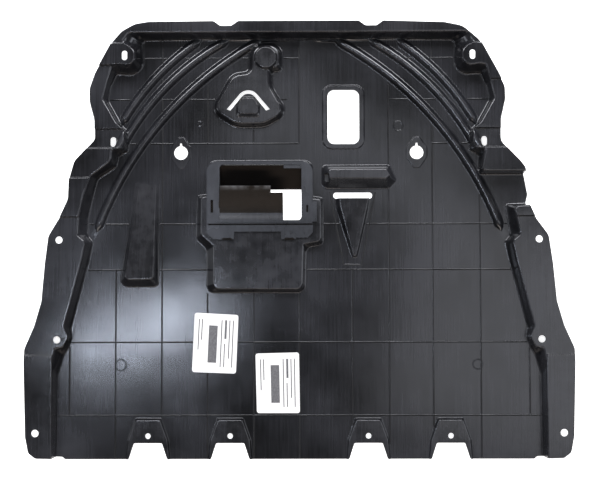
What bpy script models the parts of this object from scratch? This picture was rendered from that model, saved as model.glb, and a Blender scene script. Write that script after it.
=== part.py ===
"""Engine splash shield: a moulded undertray with an air duct insert clipped into it.

+Z points to the engine side, +Y to the rear edge, X across the car.
The tray lies on the underside of its floor at Z = 0. Sizes below are in millimetres.
The tray is drawn as one flat map of outlines. A height is given to each point of the map,
and the skin that results is thickened downwards, as a pressed or moulded sheet is.
"""
import math

import bmesh
import bpy
import numpy as np
from mathutils import Vector
from mathutils.geometry import delaunay_2d_cdt

MM = 0.001

# Overall size
HALF_WIDTH = 446.0
REAR = 358.5
FRONT = -358.5
SHEET = 2.4

# Heights of the upper surface above the ground
FLANGE_Z = 35.0
BOLT_PAD_Z = 40.0
MID_PAD_Z = 31.0
MID_FLANGE_Z = 33.0
FRONT_FLANGE_Z = 32.5
FLANGE_STEP_RUN = 3.0
PLATFORM_Z = 20.0
HEART_Z = 16.0
ROUND_POD_Z = 22.0
PLUG_Z = 21.0
WEDGE_RISE = 15.0
SAUSAGE_Z = 20.0
SCOOP_Z = 12.0
TAB_PAD_Z = 8.0
WINDOW_LIP = 2.0
TEARDROP_RISE = 1.2

# Rear edge, front tabs and their screws
REAR_NOTCH_X = 119.0
REAR_NOTCH_DEPTH = 8.0
TAB_X = (113.0, 247.5)
TAB_NOTCH_MOUTH = 63.0
TAB_NOTCH_ROOT = 46.0
TAB_NOTCH_DEPTH = 26.5
TAB_PAD_LENGTH = 36.0
TAB_PAD_TOP_WIDTH = 38.0
TAB_HOLE_SETBACK = 38.0
TAB_HOLE_BORE = 9.0

# Fixing holes in the rim: distance in from the widest point, and place along the tray
SLOT_WIDTH = 9.0
SLOT_LENGTH = 15.5
REAR_SLOT_INSET = 162.0
REAR_SLOT_SETBACK = 57.5
MID_SLOT_INSET = 143.0
MID_SLOT_Y = 160.0
SIDE_BORE = 11.5
SIDE_HOLE_INSET = 55.5
SIDE_HOLE_Y = -0.5
BOSS_HOLE_INSET = 53.0
BOSS_HOLE_Y = -162.5
FRONT_BORE = 12.0
FRONT_HOLE_INSET = 19.5
FRONT_HOLE_SETBACK = 45.5

# Keyed round holes in the floor
KEYED_X = 195.0
KEYED_Y = 145.0
KEYED_BORE = 22.5
KEY_WIDTH = 3.2
KEY_DEPTH = 4.5
TEARDROP_WIDTH = 36.0
TEARDROP_LENGTH = 53.0

# Rectangular access window
WINDOW_X = 74.0
WINDOW_Y = 204.0
WINDOW_WIDTH = 52.5
WINDOW_LENGTH = 90.0
WINDOW_CORNER = 11.0
WINDOW_MARGIN = 9.5

# Half-round beads that sweep round each rear corner, and the thin grid ribs
BEAD_WIDTH = 18.5
BEAD_HEIGHT = 6.5
BEAD_TAPER = 16.0
RIB_WIDTH = 1.4
RIB_HEIGHT = 1.5
RIB_ROOT = 0.8
RIB_BITE = 1.0
RIB_CROSSING_DROP = 0.2

# V scoop and the slot across its mouth
SCOOP_X = 89.0
SCOOP_MOUTH_Y = 68.5
SCOOP_MOUTH_WIDTH = 62.0
SCOOP_SLOT_WIDTH = 10.0
SCOOP_LENGTH = 96.0
SCOOP_BEND = 14.5
SCOOP_TIP_DROP = 0.6

# Long wedge beside the platform
WEDGE_REAR = 96.0
WEDGE_FRONT = -78.0
WEDGE_WALL = (4.0, 15.0)

# Duct insert: its opening, the collar that drops through the tray, the frame that rests on
# the platform, the hood in front and the ramp behind
DUCT_X = -62.5
DUCT_Y = 77.0
DUCT_WIDTH = 134.0
DUCT_LENGTH = 91.0
DUCT_CORNER = 6.0
COLLAR_WALL = 2.0
COLLAR_DROP = 12.0
DUCT_CLEARANCE = 0.5
SEAT_GAP = 0.3
FRAME_BASE = 3.0
FRAME_RING = 3.0
FRAME_LEFT_MARGIN = 21.5
FRAME_RIGHT_MARGIN = 18.5
FRAME_REAR_MARGIN = 6.0
FRAME_FRONT_MARGIN = 31.0
FRAME_STEP_MARGIN = 5.5
FRAME_CORNER = 18.0
FRAME_TAB_WIDTH = 30.0
FRAME_TAB_DEPTH = 6.5
FRAME_CHAMFER = 11.0
FRAME_GAP_WIDTH = 78.0
FRAME_GAP_DEPTH = 12.5
SNAP_SLOTS = ((-55.0, 13.0), (47.0, 13.0), (67.0, 18.0))
SNAP_DEPTH = 2.5
BLADE = 2.0
HOOD_RISE = 20.0
HOOD_REACH = 54.0
HOOD_OPEN_SIDE = 30.0
HOOD_LEAN = 5.0
HOOD_NOTCH_WIDTH = 20.0
HOOD_NOTCH_LENGTH = 10.0
RAMP_LENGTH = 38.0
RAMP_FOOT_Z = 3.2

# How finely round stretches are drawn
ARC_DEGREES = 32.0
SMALLEST_ARC = 4.0
ROUND_STEPS = 14
WALL_RINGS = (0.2, 0.8)
RIM_GUARD = 1.22
NEAREST_POINTS = 0.3
BEAD_STEPS = 12
BEAD_SECTION = (-0.75, -0.4, 0.4, 0.75)
BALL_TILTS = (math.radians(40), math.radians(70), math.radians(90))
BALL_TURNS = 8

# Rim of the tray, from the rear corner to the front on one side: for the top and then the
# foot of its wall, the distance in from the widest point, the place along the tray and the
# corner radius.
REAR_RIM = [
    (168, REAR - 16, 12, 189, REAR - 27, 6),
    (155, REAR - 34, 4, 188.5, REAR - 37, 3),
    (168, REAR - 42, 8, 189, REAR - 45, 3),
    (176.5, REAR - 50, 8, 189.5, REAR - 53, 3),
    (176.5, REAR - 65, 10, 189.5, REAR - 70, 24),
    (167, REAR - 73, 10, 174, REAR - 86, 24),
    (149, REAR - 70, 6, 152, REAR - 84, 8),
    (138, REAR - 72.5, 6, 145, REAR - 84, 5),
    (131, REAR - 100.5, 20, 135, REAR - 102.5, 20),
    (123, REAR - 128.5, 10, 132, REAR - 126.5, 8),
    (146, 190, 10, 154.5, 191, 8),
    (159, 177, 6, 165, 181, 8),
    (159, 151, 6, 165.5, 144, 8),
    (138, 149, 6, 149, 143, 6),
]
CLOSED_SIDE_RIM = [
    (137.5, 130, 12, 146, 121, 10),
    (105, 106, 12, 115, 101, 10),
    (93, 73, 30, 108, 74, 20),
    (85, 38, 20, 99, 36, 15),
]
# On the other side the wall runs out to the edge and leaves a stretch at floor height
OPEN_SIDE_RIM = [
    (146, 113, 5, 152, 106, 5),
    (40, 113, 5, 40, 106, 5),
    (40, 53, 5, 40, 62, 5),
    (94, 51, 6, 107, 60, 6),
]
FRONT_RIM = [
    (83, 6, 8, 99.5, 8, 8),
    (96, -4, 8, 108.5, -3, 8),
    (89, -38, 40, 101, -35, 40),
    (62, -141, 6, 72, -146, 6),
    (70.5, -158, 10, 74.5, -160, 10),
    (61, -174, 6, 67, -179, 8),
    (49, -174, 5, 60, -190, 6),
    (44, -192, 8, 50, -226, 20),
    (44, FRONT - 20, 2, 49.5, FRONT - 20, 2),
]
# Outer edges from the rear corner to the front: inset, place, corner radius
OPEN_SIDE_EDGE = [
    (207, REAR - 3, 30),
    (177, REAR - 9, 30),
    (149, REAR - 33, 40),
    (120, REAR - 86.5, 60),
    (109, REAR - 109.5, 22),
    (108.5, REAR - 130.5, 22),
    (116, 196, 20),
    (116, 160, 16),
    (84, 127, 12),
    (76.5, 117, 12),
    (68.5, 74, 10),
    (72, 60, 6),
    (60, 33, 20),
    (40, 6, 20),
    (33.5, -40, 50),
    (28, -101, 20),
    (16.5, -141, 30),
]
CLOSED_SIDE_EDGE = [
    (200, REAR - 1, 20),
    (178, REAR - 4.5, 30),
    (157, REAR - 16, 25),
    (141, REAR - 34, 40),
    (113, REAR - 85.5, 60),
    (104, REAR - 111.5, 25),
    (104.5, REAR - 132.5, 25),
    (112.5, 196, 25),
    (113, 164, 12),
    (79.5, 129, 25),
    (71, 98, 30),
    (70, 66, 25),
    (55.5, 35, 20),
    (38, 6, 20),
    (32.5, -40, 50),
    (27.5, -101, 20),
    (16, -141, 30),
]
FRONT_EDGE = [
    (0, -178, 18),
    (0, -202, 30),
    (3.5, FRONT + 40, 20),
    (8.5, FRONT + 14, 9),
    (20, FRONT + 5, 9),
    (58, FRONT + 4, 10),
    (62, FRONT, 4),
]
# Steps along the side flanges: place and the two heights, going forward
CLOSED_SIDE_STEPS = [
    (REAR - 37, FLANGE_Z, BOLT_PAD_Z),
    (REAR - 73, BOLT_PAD_Z, FLANGE_Z),
    (181, FLANGE_Z, MID_PAD_Z),
    (150, MID_PAD_Z, MID_FLANGE_Z),
    (101, MID_FLANGE_Z, FLANGE_Z),
    (37, FLANGE_Z, FRONT_FLANGE_Z),
    (-187, FRONT_FLANGE_Z, FLANGE_Z),
]
OPEN_SIDE_STEPS = [
    (REAR - 37, FLANGE_Z, BOLT_PAD_Z),
    (REAR - 97, BOLT_PAD_Z, FLANGE_Z),
    (181, FLANGE_Z, MID_PAD_Z),
    (150, MID_PAD_Z, MID_FLANGE_Z),
    (60, MID_FLANGE_Z, FLANGE_Z),
    (37, FLANGE_Z, FRONT_FLANGE_Z),
    (-187, FRONT_FLANGE_Z, FLANGE_Z),
]
# Beads as arcs through three points, for the side at +X; their rear ends climb the wall
BEAD_ARCS = [
    ((160, REAR - 23), (246, 260.5), (295.5, 190)),
    ((113, REAR - 23), (220.5, 255), (302, 136.5)),
    ((57, REAR - 23), (220.5, 206.5), (334.5, 13)),
]
# Grid ribs: place across, and the stretches that they run along
RIBS_ALONG = [
    (-377.5, [(-168, -287)]),
    (-302, [(-48, FRONT)]),
    (-226, [(REAR, FRONT)]),
    (-151, [(258, 160), (-88, FRONT)]),
    (-75, [(183, 160), (-88, FRONT)]),
    (0, [(REAR, 160), (-83, FRONT)]),
    (87, [(-48, FRONT)]),
    (148, [(258, 125), (84, FRONT)]),
    (220, [(REAR, 292), (190, FRONT)]),
    (298, [(132, FRONT)]),
    (377.5, [(-168, -287)]),
]
RIBS_ACROSS = [
    (303, [(-300, 0), (150, 300)]),
    (234, [(-320, -20), (150, 320)]),
    (160.5, [(-300, 0), (220, 300)]),
    (27, [(-350, -150), (34, 350)]),
    (-48.5, [(-360, -150), (5, 360)]),
    (-167.5, [(-400, 400)]),
    (-287, [(-400, 400)]),
]


def clear_scene():
    for item in list(bpy.data.objects):
        bpy.data.objects.remove(item, do_unlink=True)


def material(name, colour, roughness):
    made = bpy.data.materials.new(name)
    made.use_nodes = True
    shader = made.node_tree.nodes["Principled BSDF"]
    shader.inputs["Base Color"].default_value = (*colour, 1.0)
    shader.inputs["Roughness"].default_value = roughness
    shader.inputs["Metallic"].default_value = 0.0
    return made


# Outlines. A corner is (x, y, radius).

def turn_angle(before, corner, after):
    inward = Vector(corner[:2]) - Vector(before[:2])
    outward = Vector(after[:2]) - Vector(corner[:2])
    return abs(inward.angle_signed(outward, 0.0))


def arc_counts(corners):
    """Points on each corner's arc, by how far the outline turns there."""
    counts = []
    for index, corner in enumerate(corners):
        before = corners[index - 1]
        after = corners[(index + 1) % len(corners)]
        turned = math.degrees(turn_angle(before, corner, after))
        counts.append(1 + math.ceil(turned / ARC_DEGREES) if corner[2] > 0 else 1)
    return counts


def rounded(corners, counts=None):
    """A closed outline with each corner replaced by an arc of the stated radius."""
    counts = counts or arc_counts(corners)
    points = []
    for index, corner in enumerate(corners):
        here = Vector(corner[:2])
        back = Vector(corners[index - 1][:2]) - here
        ahead = Vector(corners[(index + 1) % len(corners)][:2]) - here
        turned = turn_angle(corners[index - 1], corner, corners[(index + 1) % len(corners)])
        count = counts[index]
        reach = corner[2] * math.tan(turned / 2)
        reach = min(reach, 0.46 * back.length, 0.46 * ahead.length)
        if count == 1:
            points.append(here)
            continue
        start = here + back.normalized() * reach
        end = here + ahead.normalized() * reach
        weight = math.cos(turned / 2)
        for step in range(count):
            t = step / (count - 1)
            parts = ((1 - t) ** 2, 2 * t * (1 - t) * weight, t * t)
            blend = start * parts[0] + here * parts[1] + end * parts[2]
            points.append(blend / sum(parts))
    return np.array([(p.x, p.y) for p in points])


def mirrored(corners):
    return [(-c[0],) + tuple(c[1:]) for c in reversed(corners)]


def box_corners(x, y, width, length, radius):
    w = width / 2
    h = length / 2
    return [(x + w, y + h, radius), (x - w, y + h, radius), (x - w, y - h, radius), (x + w, y - h, radius)]


def circle(x, y, diameter, steps):
    turns = np.arange(steps) * 2 * math.pi / steps
    return np.column_stack((x + diameter / 2 * np.cos(turns), y + diameter / 2 * np.sin(turns)))


def inset_corners(corners, distance):
    """The same corners with each edge moved inwards; the outline runs anticlockwise."""
    moved = []
    total = len(corners)
    for index, corner in enumerate(corners):
        here = Vector(corner[:2])
        first = (here - Vector(corners[index - 1][:2])).normalized()
        second = (Vector(corners[(index + 1) % total][:2]) - here).normalized()
        normal_a = Vector((-first.y, first.x))
        normal_b = Vector((-second.y, second.x))
        middle = (normal_a + normal_b).normalized()
        point = here + middle * (distance / max(middle.dot(normal_a), 0.4))
        convex = first.x * second.y - first.y * second.x > 0
        radius = corner[2] - distance if convex else corner[2] + distance
        moved.append((point.x, point.y, max(radius, 1.0)))
    return moved


def with_crossings(loop, levels):
    """Adds a point to the loop wherever it crosses one of the levels along Y."""
    points = []
    added = []
    for index, here in enumerate(loop):
        after = loop[(index + 1) % len(loop)]
        points.append(here)
        added.append(False)
        hits = [v for v in levels if min(here[1], after[1]) < v < max(here[1], after[1])]
        hits.sort(reverse=bool(after[1] < here[1]))
        for level in hits:
            share = (level - here[1]) / (after[1] - here[1])
            points.append(here + share * (after - here))
            added.append(True)
    kept = []
    for index, here in enumerate(points):
        beside = [(index + turn) % len(points) for turn in (-1, 1)]
        crowded = any(added[i] and np.linalg.norm(points[i] - here) < NEAREST_POINTS for i in beside)
        if added[index] or not crowded:
            kept.append(here)
    return np.array(kept)


def crossing_x(loop, level, side):
    """Where the loop crosses a level along Y, on the side of the given sign, outermost."""
    found = []
    for here, after in zip(loop, np.roll(loop, -1, axis=0)):
        if min(here[1], after[1]) <= level < max(here[1], after[1]):
            share = (level - here[1]) / (after[1] - here[1])
            found.append(here[0] + share * (after[0] - here[0]))
    found = [x for x in found if x * side > 0]
    return side * max(x * side for x in found)


# Places of points against loops

def inside(points, loop):
    """True for each point inside the closed loop."""
    x = points[:, 0:1]
    y = points[:, 1:2]
    after = np.roll(loop, -1, axis=0)
    straddles = (loop[:, 1] > y) != (after[:, 1] > y)
    rise = np.where(after[:, 1] == loop[:, 1], 1.0, after[:, 1] - loop[:, 1])
    cross = loop[:, 0] + (y - loop[:, 1]) * (after[:, 0] - loop[:, 0]) / rise
    return (np.sum(straddles & (x < cross), axis=1) % 2) == 1


def distance_to(points, loop):
    """Distance from each point to the closed loop."""
    after = np.roll(loop, -1, axis=0)
    edge = after - loop
    size = np.maximum(np.sum(edge * edge, axis=1), 1e-12)
    offset = points[:, None, :] - loop[None, :, :]
    share = np.clip(np.sum(offset * edge, axis=2) / size, 0.0, 1.0)
    gap = offset - share[:, :, None] * edge
    return np.sqrt(np.min(np.sum(gap * gap, axis=2), axis=1))


def soften(t):
    """Rounds the foot and the head of a wall; t runs from 0 at its foot to 1 at its top."""
    return 0.35 * t + 0.65 * t * t * (3 - 2 * t)


class Form:
    """A raised or sunk area with a sloping wall from its foot outline to its top outline."""

    def __init__(self, foot, top, height, outward=False, rings=WALL_RINGS, guard=()):
        counts = arc_counts(foot)
        for index, corner in enumerate(top):
            if corner[2] < SMALLEST_ARC:
                counts[index] = 1
        self.foot = rounded(foot, counts)
        self.top = rounded(top, counts)
        self.height = height
        self.outward = outward
        self.spans = (0.0,) + tuple(rings) + (1.0,) + tuple(guard)

    def rings(self):
        return [self.foot + (self.top - self.foot) * t for t in self.spans]

    def apply(self, points, heights):
        """Moves the heights of the points that lie on this form; returns all heights."""
        near = np.ones(len(points), bool)
        if not self.outward:
            low = self.foot.min(axis=0)
            high = self.foot.max(axis=0)
            near = np.all((points >= low) & (points <= high), axis=1)
        heights = heights.copy()
        heights[near] = self.blend(points[near], heights[near])
        return heights

    def blend(self, points, heights):
        on_foot = inside(points, self.foot) != self.outward
        on_top = inside(points, self.top) != self.outward
        rise = on_top.astype(float)
        edge = on_foot & ~on_top
        near_foot = distance_to(points[edge], self.foot)
        near_top = distance_to(points[edge], self.top)
        rise[edge] = near_foot / np.maximum(near_foot + near_top, 1e-9)
        wanted = np.array([self.height(x, y) for x, y in points])
        return heights + (wanted - heights) * soften(rise)


class Bead:
    """A half-round bead along an arc, fading out at both ends."""

    def __init__(self, arc, side):
        first, middle, last = [(side * p[0], p[1]) for p in arc]
        self.points, self.outward, self.length = arc_through(first, middle, last, BEAD_STEPS)
        along = np.linspace(0.0, self.length, BEAD_STEPS + 1)
        fade = np.clip(np.minimum(along, self.length - along) / BEAD_TAPER, 0.0, 1.0)
        self.fade = np.sin(fade * math.pi / 2)

    def offset_line(self, share):
        reach = BEAD_WIDTH / 2 * share * self.fade
        return self.points + self.outward * reach[:, None]

    def outline(self):
        return np.vstack((self.offset_line(-1.0), self.offset_line(1.0)[-2:0:-1]))

    def apply(self, points, heights):
        low = self.points.min(axis=0) - BEAD_WIDTH
        high = self.points.max(axis=0) + BEAD_WIDTH
        near = np.all((points >= low) & (points <= high), axis=1)
        heights = heights.copy()
        for index in np.flatnonzero(near):
            heights[index] += self.rise_at(points[index])
        return heights

    def rise_at(self, point):
        start = self.points[:-1]
        edge = self.points[1:] - start
        share = np.sum((point - start) * edge, axis=1) / np.sum(edge * edge, axis=1)
        share = np.clip(share, 0.0, 1.0)
        gaps = np.linalg.norm(start + share[:, None] * edge - point, axis=1)
        best = int(np.argmin(gaps))
        fade = self.fade[best] + share[best] * (self.fade[best + 1] - self.fade[best])
        half = BEAD_WIDTH / 2 * fade
        if gaps[best] >= half:
            return 0.0
        return BEAD_HEIGHT * fade * math.cos(gaps[best] / half * math.pi / 2)


def flat(level):
    return lambda x, y: level


def flange_height(x, y):
    """Height of the rim flange, which steps up and down on its way forward."""
    steps = OPEN_SIDE_STEPS if x > 0 else CLOSED_SIDE_STEPS
    level = steps[0][1]
    for place, before, after in steps:
        share = (place + FLANGE_STEP_RUN / 2 - y) / FLANGE_STEP_RUN
        level += (after - before) * min(max(share, 0.0), 1.0)
    return level


def wedge_height(x, y):
    top = WEDGE_REAR - WEDGE_WALL[0]
    bottom = WEDGE_FRONT + WEDGE_WALL[1]
    return SHEET + WEDGE_RISE * min(max((top - y) / (top - bottom), 0.0), 1.0)


def scoop_height(x, y):
    share = (SCOOP_MOUTH_Y - y) / SCOOP_LENGTH
    return SHEET + (SCOOP_Z - SHEET) * (1 - SCOOP_TIP_DROP * min(max(share, 0.0), 1.0))


# The forms of the tray

def rim():
    right = REAR_RIM + OPEN_SIDE_RIM + FRONT_RIM
    left = REAR_RIM + CLOSED_SIDE_RIM + FRONT_RIM
    tops = [(HALF_WIDTH - s[0], s[1], s[2]) for s in right]
    feet = [(HALF_WIDTH - s[3], s[4], s[5]) for s in right]
    tops_left = [(HALF_WIDTH - s[0], s[1], s[2]) for s in left]
    feet_left = [(HALF_WIDTH - s[3], s[4], s[5]) for s in left]
    foot = mirrored(feet_left)[::-1] + feet[::-1]
    top = mirrored(tops_left)[::-1] + tops[::-1]
    return Form(foot, top, flange_height, outward=True, guard=(RIM_GUARD,))


def outer_edge():
    right = [(HALF_WIDTH - inset, y, radius) for inset, y, radius in OPEN_SIDE_EDGE + FRONT_EDGE]
    left = [(HALF_WIDTH - inset, y, radius) for inset, y, radius in CLOSED_SIDE_EDGE + FRONT_EDGE]
    notch = REAR_NOTCH_X
    rear = [
        (notch + 20, REAR, 6),
        (notch + 9, REAR - REAR_NOTCH_DEPTH, 6),
        (notch - 9, REAR - REAR_NOTCH_DEPTH, 6),
        (notch - 20, REAR, 6),
    ]
    front = []
    for x in (-TAB_X[1], -TAB_X[0], TAB_X[0], TAB_X[1]):
        front += [
            (x - TAB_NOTCH_MOUTH / 2, FRONT, 4),
            (x - TAB_NOTCH_ROOT / 2, FRONT + TAB_NOTCH_DEPTH, 3),
            (x + TAB_NOTCH_ROOT / 2, FRONT + TAB_NOTCH_DEPTH, 3),
            (x + TAB_NOTCH_MOUTH / 2, FRONT, 4),
        ]
    rear_left = mirrored(rear)
    return rounded(rear_left + mirrored(left)[::-1] + front + right[::-1] + rear)


def platform():
    top = [
        (19, 128, 12), (-146.5, 128, 12), (-146.5, 70, 2), (-158.5, 68, 3), (-158.5, 8, 8), (-142, -10, 6),
        (-142, -79, 8), (5, -79, 8), (5.5, -6, 6), (34.7, -1, 6), (34.7, 64, 4), (19, 66, 2),
    ]
    foot = [
        (24, 133, 15), (-151.5, 133, 15), (-151.5, 77, 2), (-169, 75, 4), (-171, 2, 14), (-153, -14, 12),
        (-153, -88, 14), (11, -88, 14), (13, -13, 10), (41, -9, 10), (41, 71, 6), (24, 73, 2),
    ]
    return Form(foot, top, flat(PLATFORM_Z))


def heart_pod():
    foot = [
        (-24.5, 329, 27), (-83.5, 329, 27), (-83.5, 282, 8), (-112, 279, 30), (-150, 213, 22), (-106, 185, 45),
        (-56, 185, 45), (-13, 208, 24), (-42, 256, 24), (-42, 277, 4), (-25, 280, 16),
    ]
    return Form(foot, inset_corners(foot, 10.0), flat(HEART_Z))


def round_pod():
    centre = (-54, 301)
    foot = [(centre[0] + 22 * math.cos(a), centre[1] + 22 * math.sin(a), 4) for a in eighths()]
    top = [(centre[0] + 17 * math.cos(a), centre[1] + 17 * math.sin(a), 3) for a in eighths()]
    return Form(foot, top, flat(ROUND_POD_Z), rings=())


def eighths():
    return [math.pi / 8 + turn * math.pi / 4 for turn in range(8)]


def heart_plug():
    foot = [(-63, 220, 3), (-71, 237, 4), (-95, 237, 4), (-103, 220, 3), (-103, 201.5, 4), (-63, 201.5, 4)]
    top = [(-67, 221, 3), (-75, 232.5, 4), (-91.5, 232.5, 4), (-99, 221, 3), (-97, 208.5, 4), (-68, 208.5, 4)]
    return Form(foot, top, flat(PLUG_Z), rings=())


def wedge():
    rear = WEDGE_REAR - WEDGE_WALL[0]
    front = WEDGE_FRONT + WEDGE_WALL[1]
    foot = [(-230, WEDGE_REAR, 3), (-270, WEDGE_REAR, 3), (-297, WEDGE_FRONT, 14), (-230, WEDGE_FRONT, 10)]
    top = [(-237, rear, 2), (-263, rear, 2), (-284, front, 5), (-240, front, 5)]
    return Form(foot, top, wedge_height)


def sausage():
    foot = [(150, 125, 6), (37, 125, 9), (37, 84, 12), (150, 84, 8), (163, 98, 5)]
    top = [(143, 114, 3), (50, 114, 4), (50, 102, 4), (143, 102, 3), (148, 106, 3)]
    return Form(foot, top, flat(SAUSAGE_Z))


def sausage_pocket():
    foot = [(51, 111, 3), (41, 109, 3), (41, 96, 3), (51, 94, 3)]
    return Form(foot, inset_corners(foot, 2.0), flat(SHEET + 1.0), rings=())


def scoop():
    half = SCOOP_MOUTH_WIDTH / 2
    end = SCOOP_MOUTH_Y - SCOOP_LENGTH
    inner = SCOOP_MOUTH_Y + SCOOP_SLOT_WIDTH / 2
    bend = SCOOP_MOUTH_Y - SCOOP_BEND
    foot = [
        (SCOOP_X + half, inner, 1), (SCOOP_X - half, inner, 1), (SCOOP_X - half + 2, bend, 12),
        (SCOOP_X - 2, end - 3, 6), (SCOOP_X + 8, end - 3, 6), (SCOOP_X + half - 4, bend - 4, 12),
    ]
    top = [
        (SCOOP_X + half - 6, inner, 1), (SCOOP_X - half + 10, inner, 1), (SCOOP_X - half + 12, bend, 10),
        (SCOOP_X + 1, end + 3, 3), (SCOOP_X + 5, end + 3, 3), (SCOOP_X + half - 10, bend - 4, 10),
    ]
    return Form(foot, top, scoop_height)


def tab_pad(x):
    root = FRONT + TAB_NOTCH_DEPTH
    wide = TAB_NOTCH_MOUTH / 2
    head = TAB_PAD_TOP_WIDTH / 2
    top = [
        (x + head, root + TAB_PAD_LENGTH, 3), (x - head, root + TAB_PAD_LENGTH, 3), (x - wide + 1, root + 4, 5),
        (x - wide - 3, FRONT - 12, 1), (x + wide + 3, FRONT - 12, 1), (x + wide - 1, root + 4, 5),
    ]
    foot = [
        (x + head + 3, root + TAB_PAD_LENGTH + 5, 4), (x - head - 3, root + TAB_PAD_LENGTH + 5, 4),
        (x - wide - 3, root + 5, 5), (x - wide - 7, FRONT - 12, 1), (x + wide + 7, FRONT - 12, 1),
        (x + wide + 3, root + 5, 5),
    ]
    return Form(foot, top, flat(TAB_PAD_Z), rings=())


def window_lip():
    grown = 2 * WINDOW_MARGIN
    foot = box_corners(WINDOW_X, WINDOW_Y, WINDOW_WIDTH + grown, WINDOW_LENGTH + grown, WINDOW_CORNER + 6)
    return Form(foot, inset_corners(foot, 3.0), flat(SHEET + WINDOW_LIP), rings=())


def teardrop(side):
    x = side * KEYED_X
    w = TEARDROP_WIDTH / 2
    h = TEARDROP_LENGTH / 2
    foot = [
        (x + 5, KEYED_Y + h, 3), (x - 5, KEYED_Y + h, 3), (x - w, KEYED_Y + 8, 8), (x - w, KEYED_Y - 8, 8),
        (x - 5, KEYED_Y - h, 3), (x + 5, KEYED_Y - h, 3), (x + w, KEYED_Y - 8, 8), (x + w, KEYED_Y + 8, 8),
    ]
    return Form(foot, inset_corners(foot, 1.8), flat(SHEET + TEARDROP_RISE), rings=())


def forms():
    raised = [rim(), platform(), heart_pod(), round_pod(), heart_plug(), wedge(), sausage()]
    raised += [sausage_pocket(), scoop(), window_lip(), teardrop(-1), teardrop(1)]
    raised += [tab_pad(side * x) for side in (-1, 1) for x in TAB_X]
    return raised


# Openings through the tray

def keyed_hole(side):
    x = side * KEYED_X
    turns = np.linspace(math.radians(100), math.radians(440), ROUND_STEPS + 4)
    radius = KEYED_BORE / 2
    ring = [(x + radius * math.cos(a), KEYED_Y + radius * math.sin(a)) for a in turns]
    key = [(x + KEY_WIDTH / 2, KEYED_Y + radius + KEY_DEPTH), (x - KEY_WIDTH / 2, KEYED_Y + radius + KEY_DEPTH)]
    return np.array(ring + key)


def heart_slot():
    """An inverted V with a round apex, cut as one slot of even width."""
    outer = [(-118.5, 215.5, 0), (-83, 257.5, 19), (-47.5, 215.5, 0)]
    inner = [(-53.5, 213.5, 0), (-83, 249.5, 14), (-112.5, 213.5, 0)]
    return rounded(outer[::-1] + inner[::-1])


def duct_hole():
    grown = 2 * (COLLAR_WALL + DUCT_CLEARANCE)
    corner = DUCT_CORNER + grown / 2
    corners = box_corners(DUCT_X, DUCT_Y, DUCT_WIDTH + grown, DUCT_LENGTH + grown, corner)
    return rounded(corners)


def openings():
    cut = [heart_slot(), duct_hole(), keyed_hole(-1), keyed_hole(1)]
    cut.append(rounded(box_corners(WINDOW_X, WINDOW_Y, WINDOW_WIDTH, WINDOW_LENGTH, WINDOW_CORNER)))
    slot_y = SCOOP_MOUTH_Y + SCOOP_SLOT_WIDTH / 2
    slot = box_corners(SCOOP_X, slot_y, SCOOP_MOUTH_WIDTH + 2, SCOOP_SLOT_WIDTH, SCOOP_SLOT_WIDTH / 2)
    cut.append(rounded(slot))
    for side in (-1, 1):
        rear_slot = (side * (HALF_WIDTH - REAR_SLOT_INSET), REAR - REAR_SLOT_SETBACK)
        mid_slot = (side * (HALF_WIDTH - MID_SLOT_INSET), MID_SLOT_Y)
        for x, y in (rear_slot, mid_slot):
            cut.append(rounded(box_corners(x, y, SLOT_WIDTH, SLOT_LENGTH, SLOT_WIDTH / 2)))
        cut.append(circle(side * (HALF_WIDTH - SIDE_HOLE_INSET), SIDE_HOLE_Y, SIDE_BORE, ROUND_STEPS))
        cut.append(circle(side * (HALF_WIDTH - BOSS_HOLE_INSET), BOSS_HOLE_Y, SIDE_BORE, ROUND_STEPS))
        front_hole = (side * (HALF_WIDTH - FRONT_HOLE_INSET), FRONT + FRONT_HOLE_SETBACK)
        cut.append(circle(*front_hole, FRONT_BORE, ROUND_STEPS))
        for x in TAB_X:
            cut.append(circle(side * x, FRONT + TAB_HOLE_SETBACK, TAB_HOLE_BORE, ROUND_STEPS))
    return cut


# Beads

def arc_through(first, middle, last, steps):
    """Points and headings along the circular arc through three points."""
    a, b, c = (Vector(p) for p in (first, middle, last))
    ab = b - a
    ac = c - a
    cross = 2 * (ab.x * ac.y - ab.y * ac.x)
    centre_x = (ac.y * ab.length_squared - ab.y * ac.length_squared) / cross
    centre_y = (ab.x * ac.length_squared - ac.x * ab.length_squared) / cross
    centre = a + Vector((centre_x, centre_y))
    radius = (a - centre).length
    start = math.atan2(a.y - centre.y, a.x - centre.x)
    swept = (c - centre).angle_signed(a - centre)
    turns = [start + swept * step / steps for step in range(steps + 1)]
    points = np.array([(centre.x + radius * math.cos(t), centre.y + radius * math.sin(t)) for t in turns])
    outward = np.array([(math.cos(t), math.sin(t)) for t in turns])
    return points, outward, radius * abs(swept)


# The skin of the tray

class Map:
    """Points and lines of the flat map."""

    def __init__(self):
        self.points = []
        self.edges = []

    def line(self, points, closed=False):
        start = len(self.points)
        total = len(points)
        self.points += [Vector(p) for p in points]
        self.edges += [(start + i, start + i + 1) for i in range(total - 1)]
        if closed:
            self.edges.append((start + total - 1, start))


def step_levels():
    places = [s[0] for s in CLOSED_SIDE_STEPS + OPEN_SIDE_STEPS]
    levels = {p + FLANGE_STEP_RUN / 2 for p in places} | {p - FLANGE_STEP_RUN / 2 for p in places}
    return sorted(levels)


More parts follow.
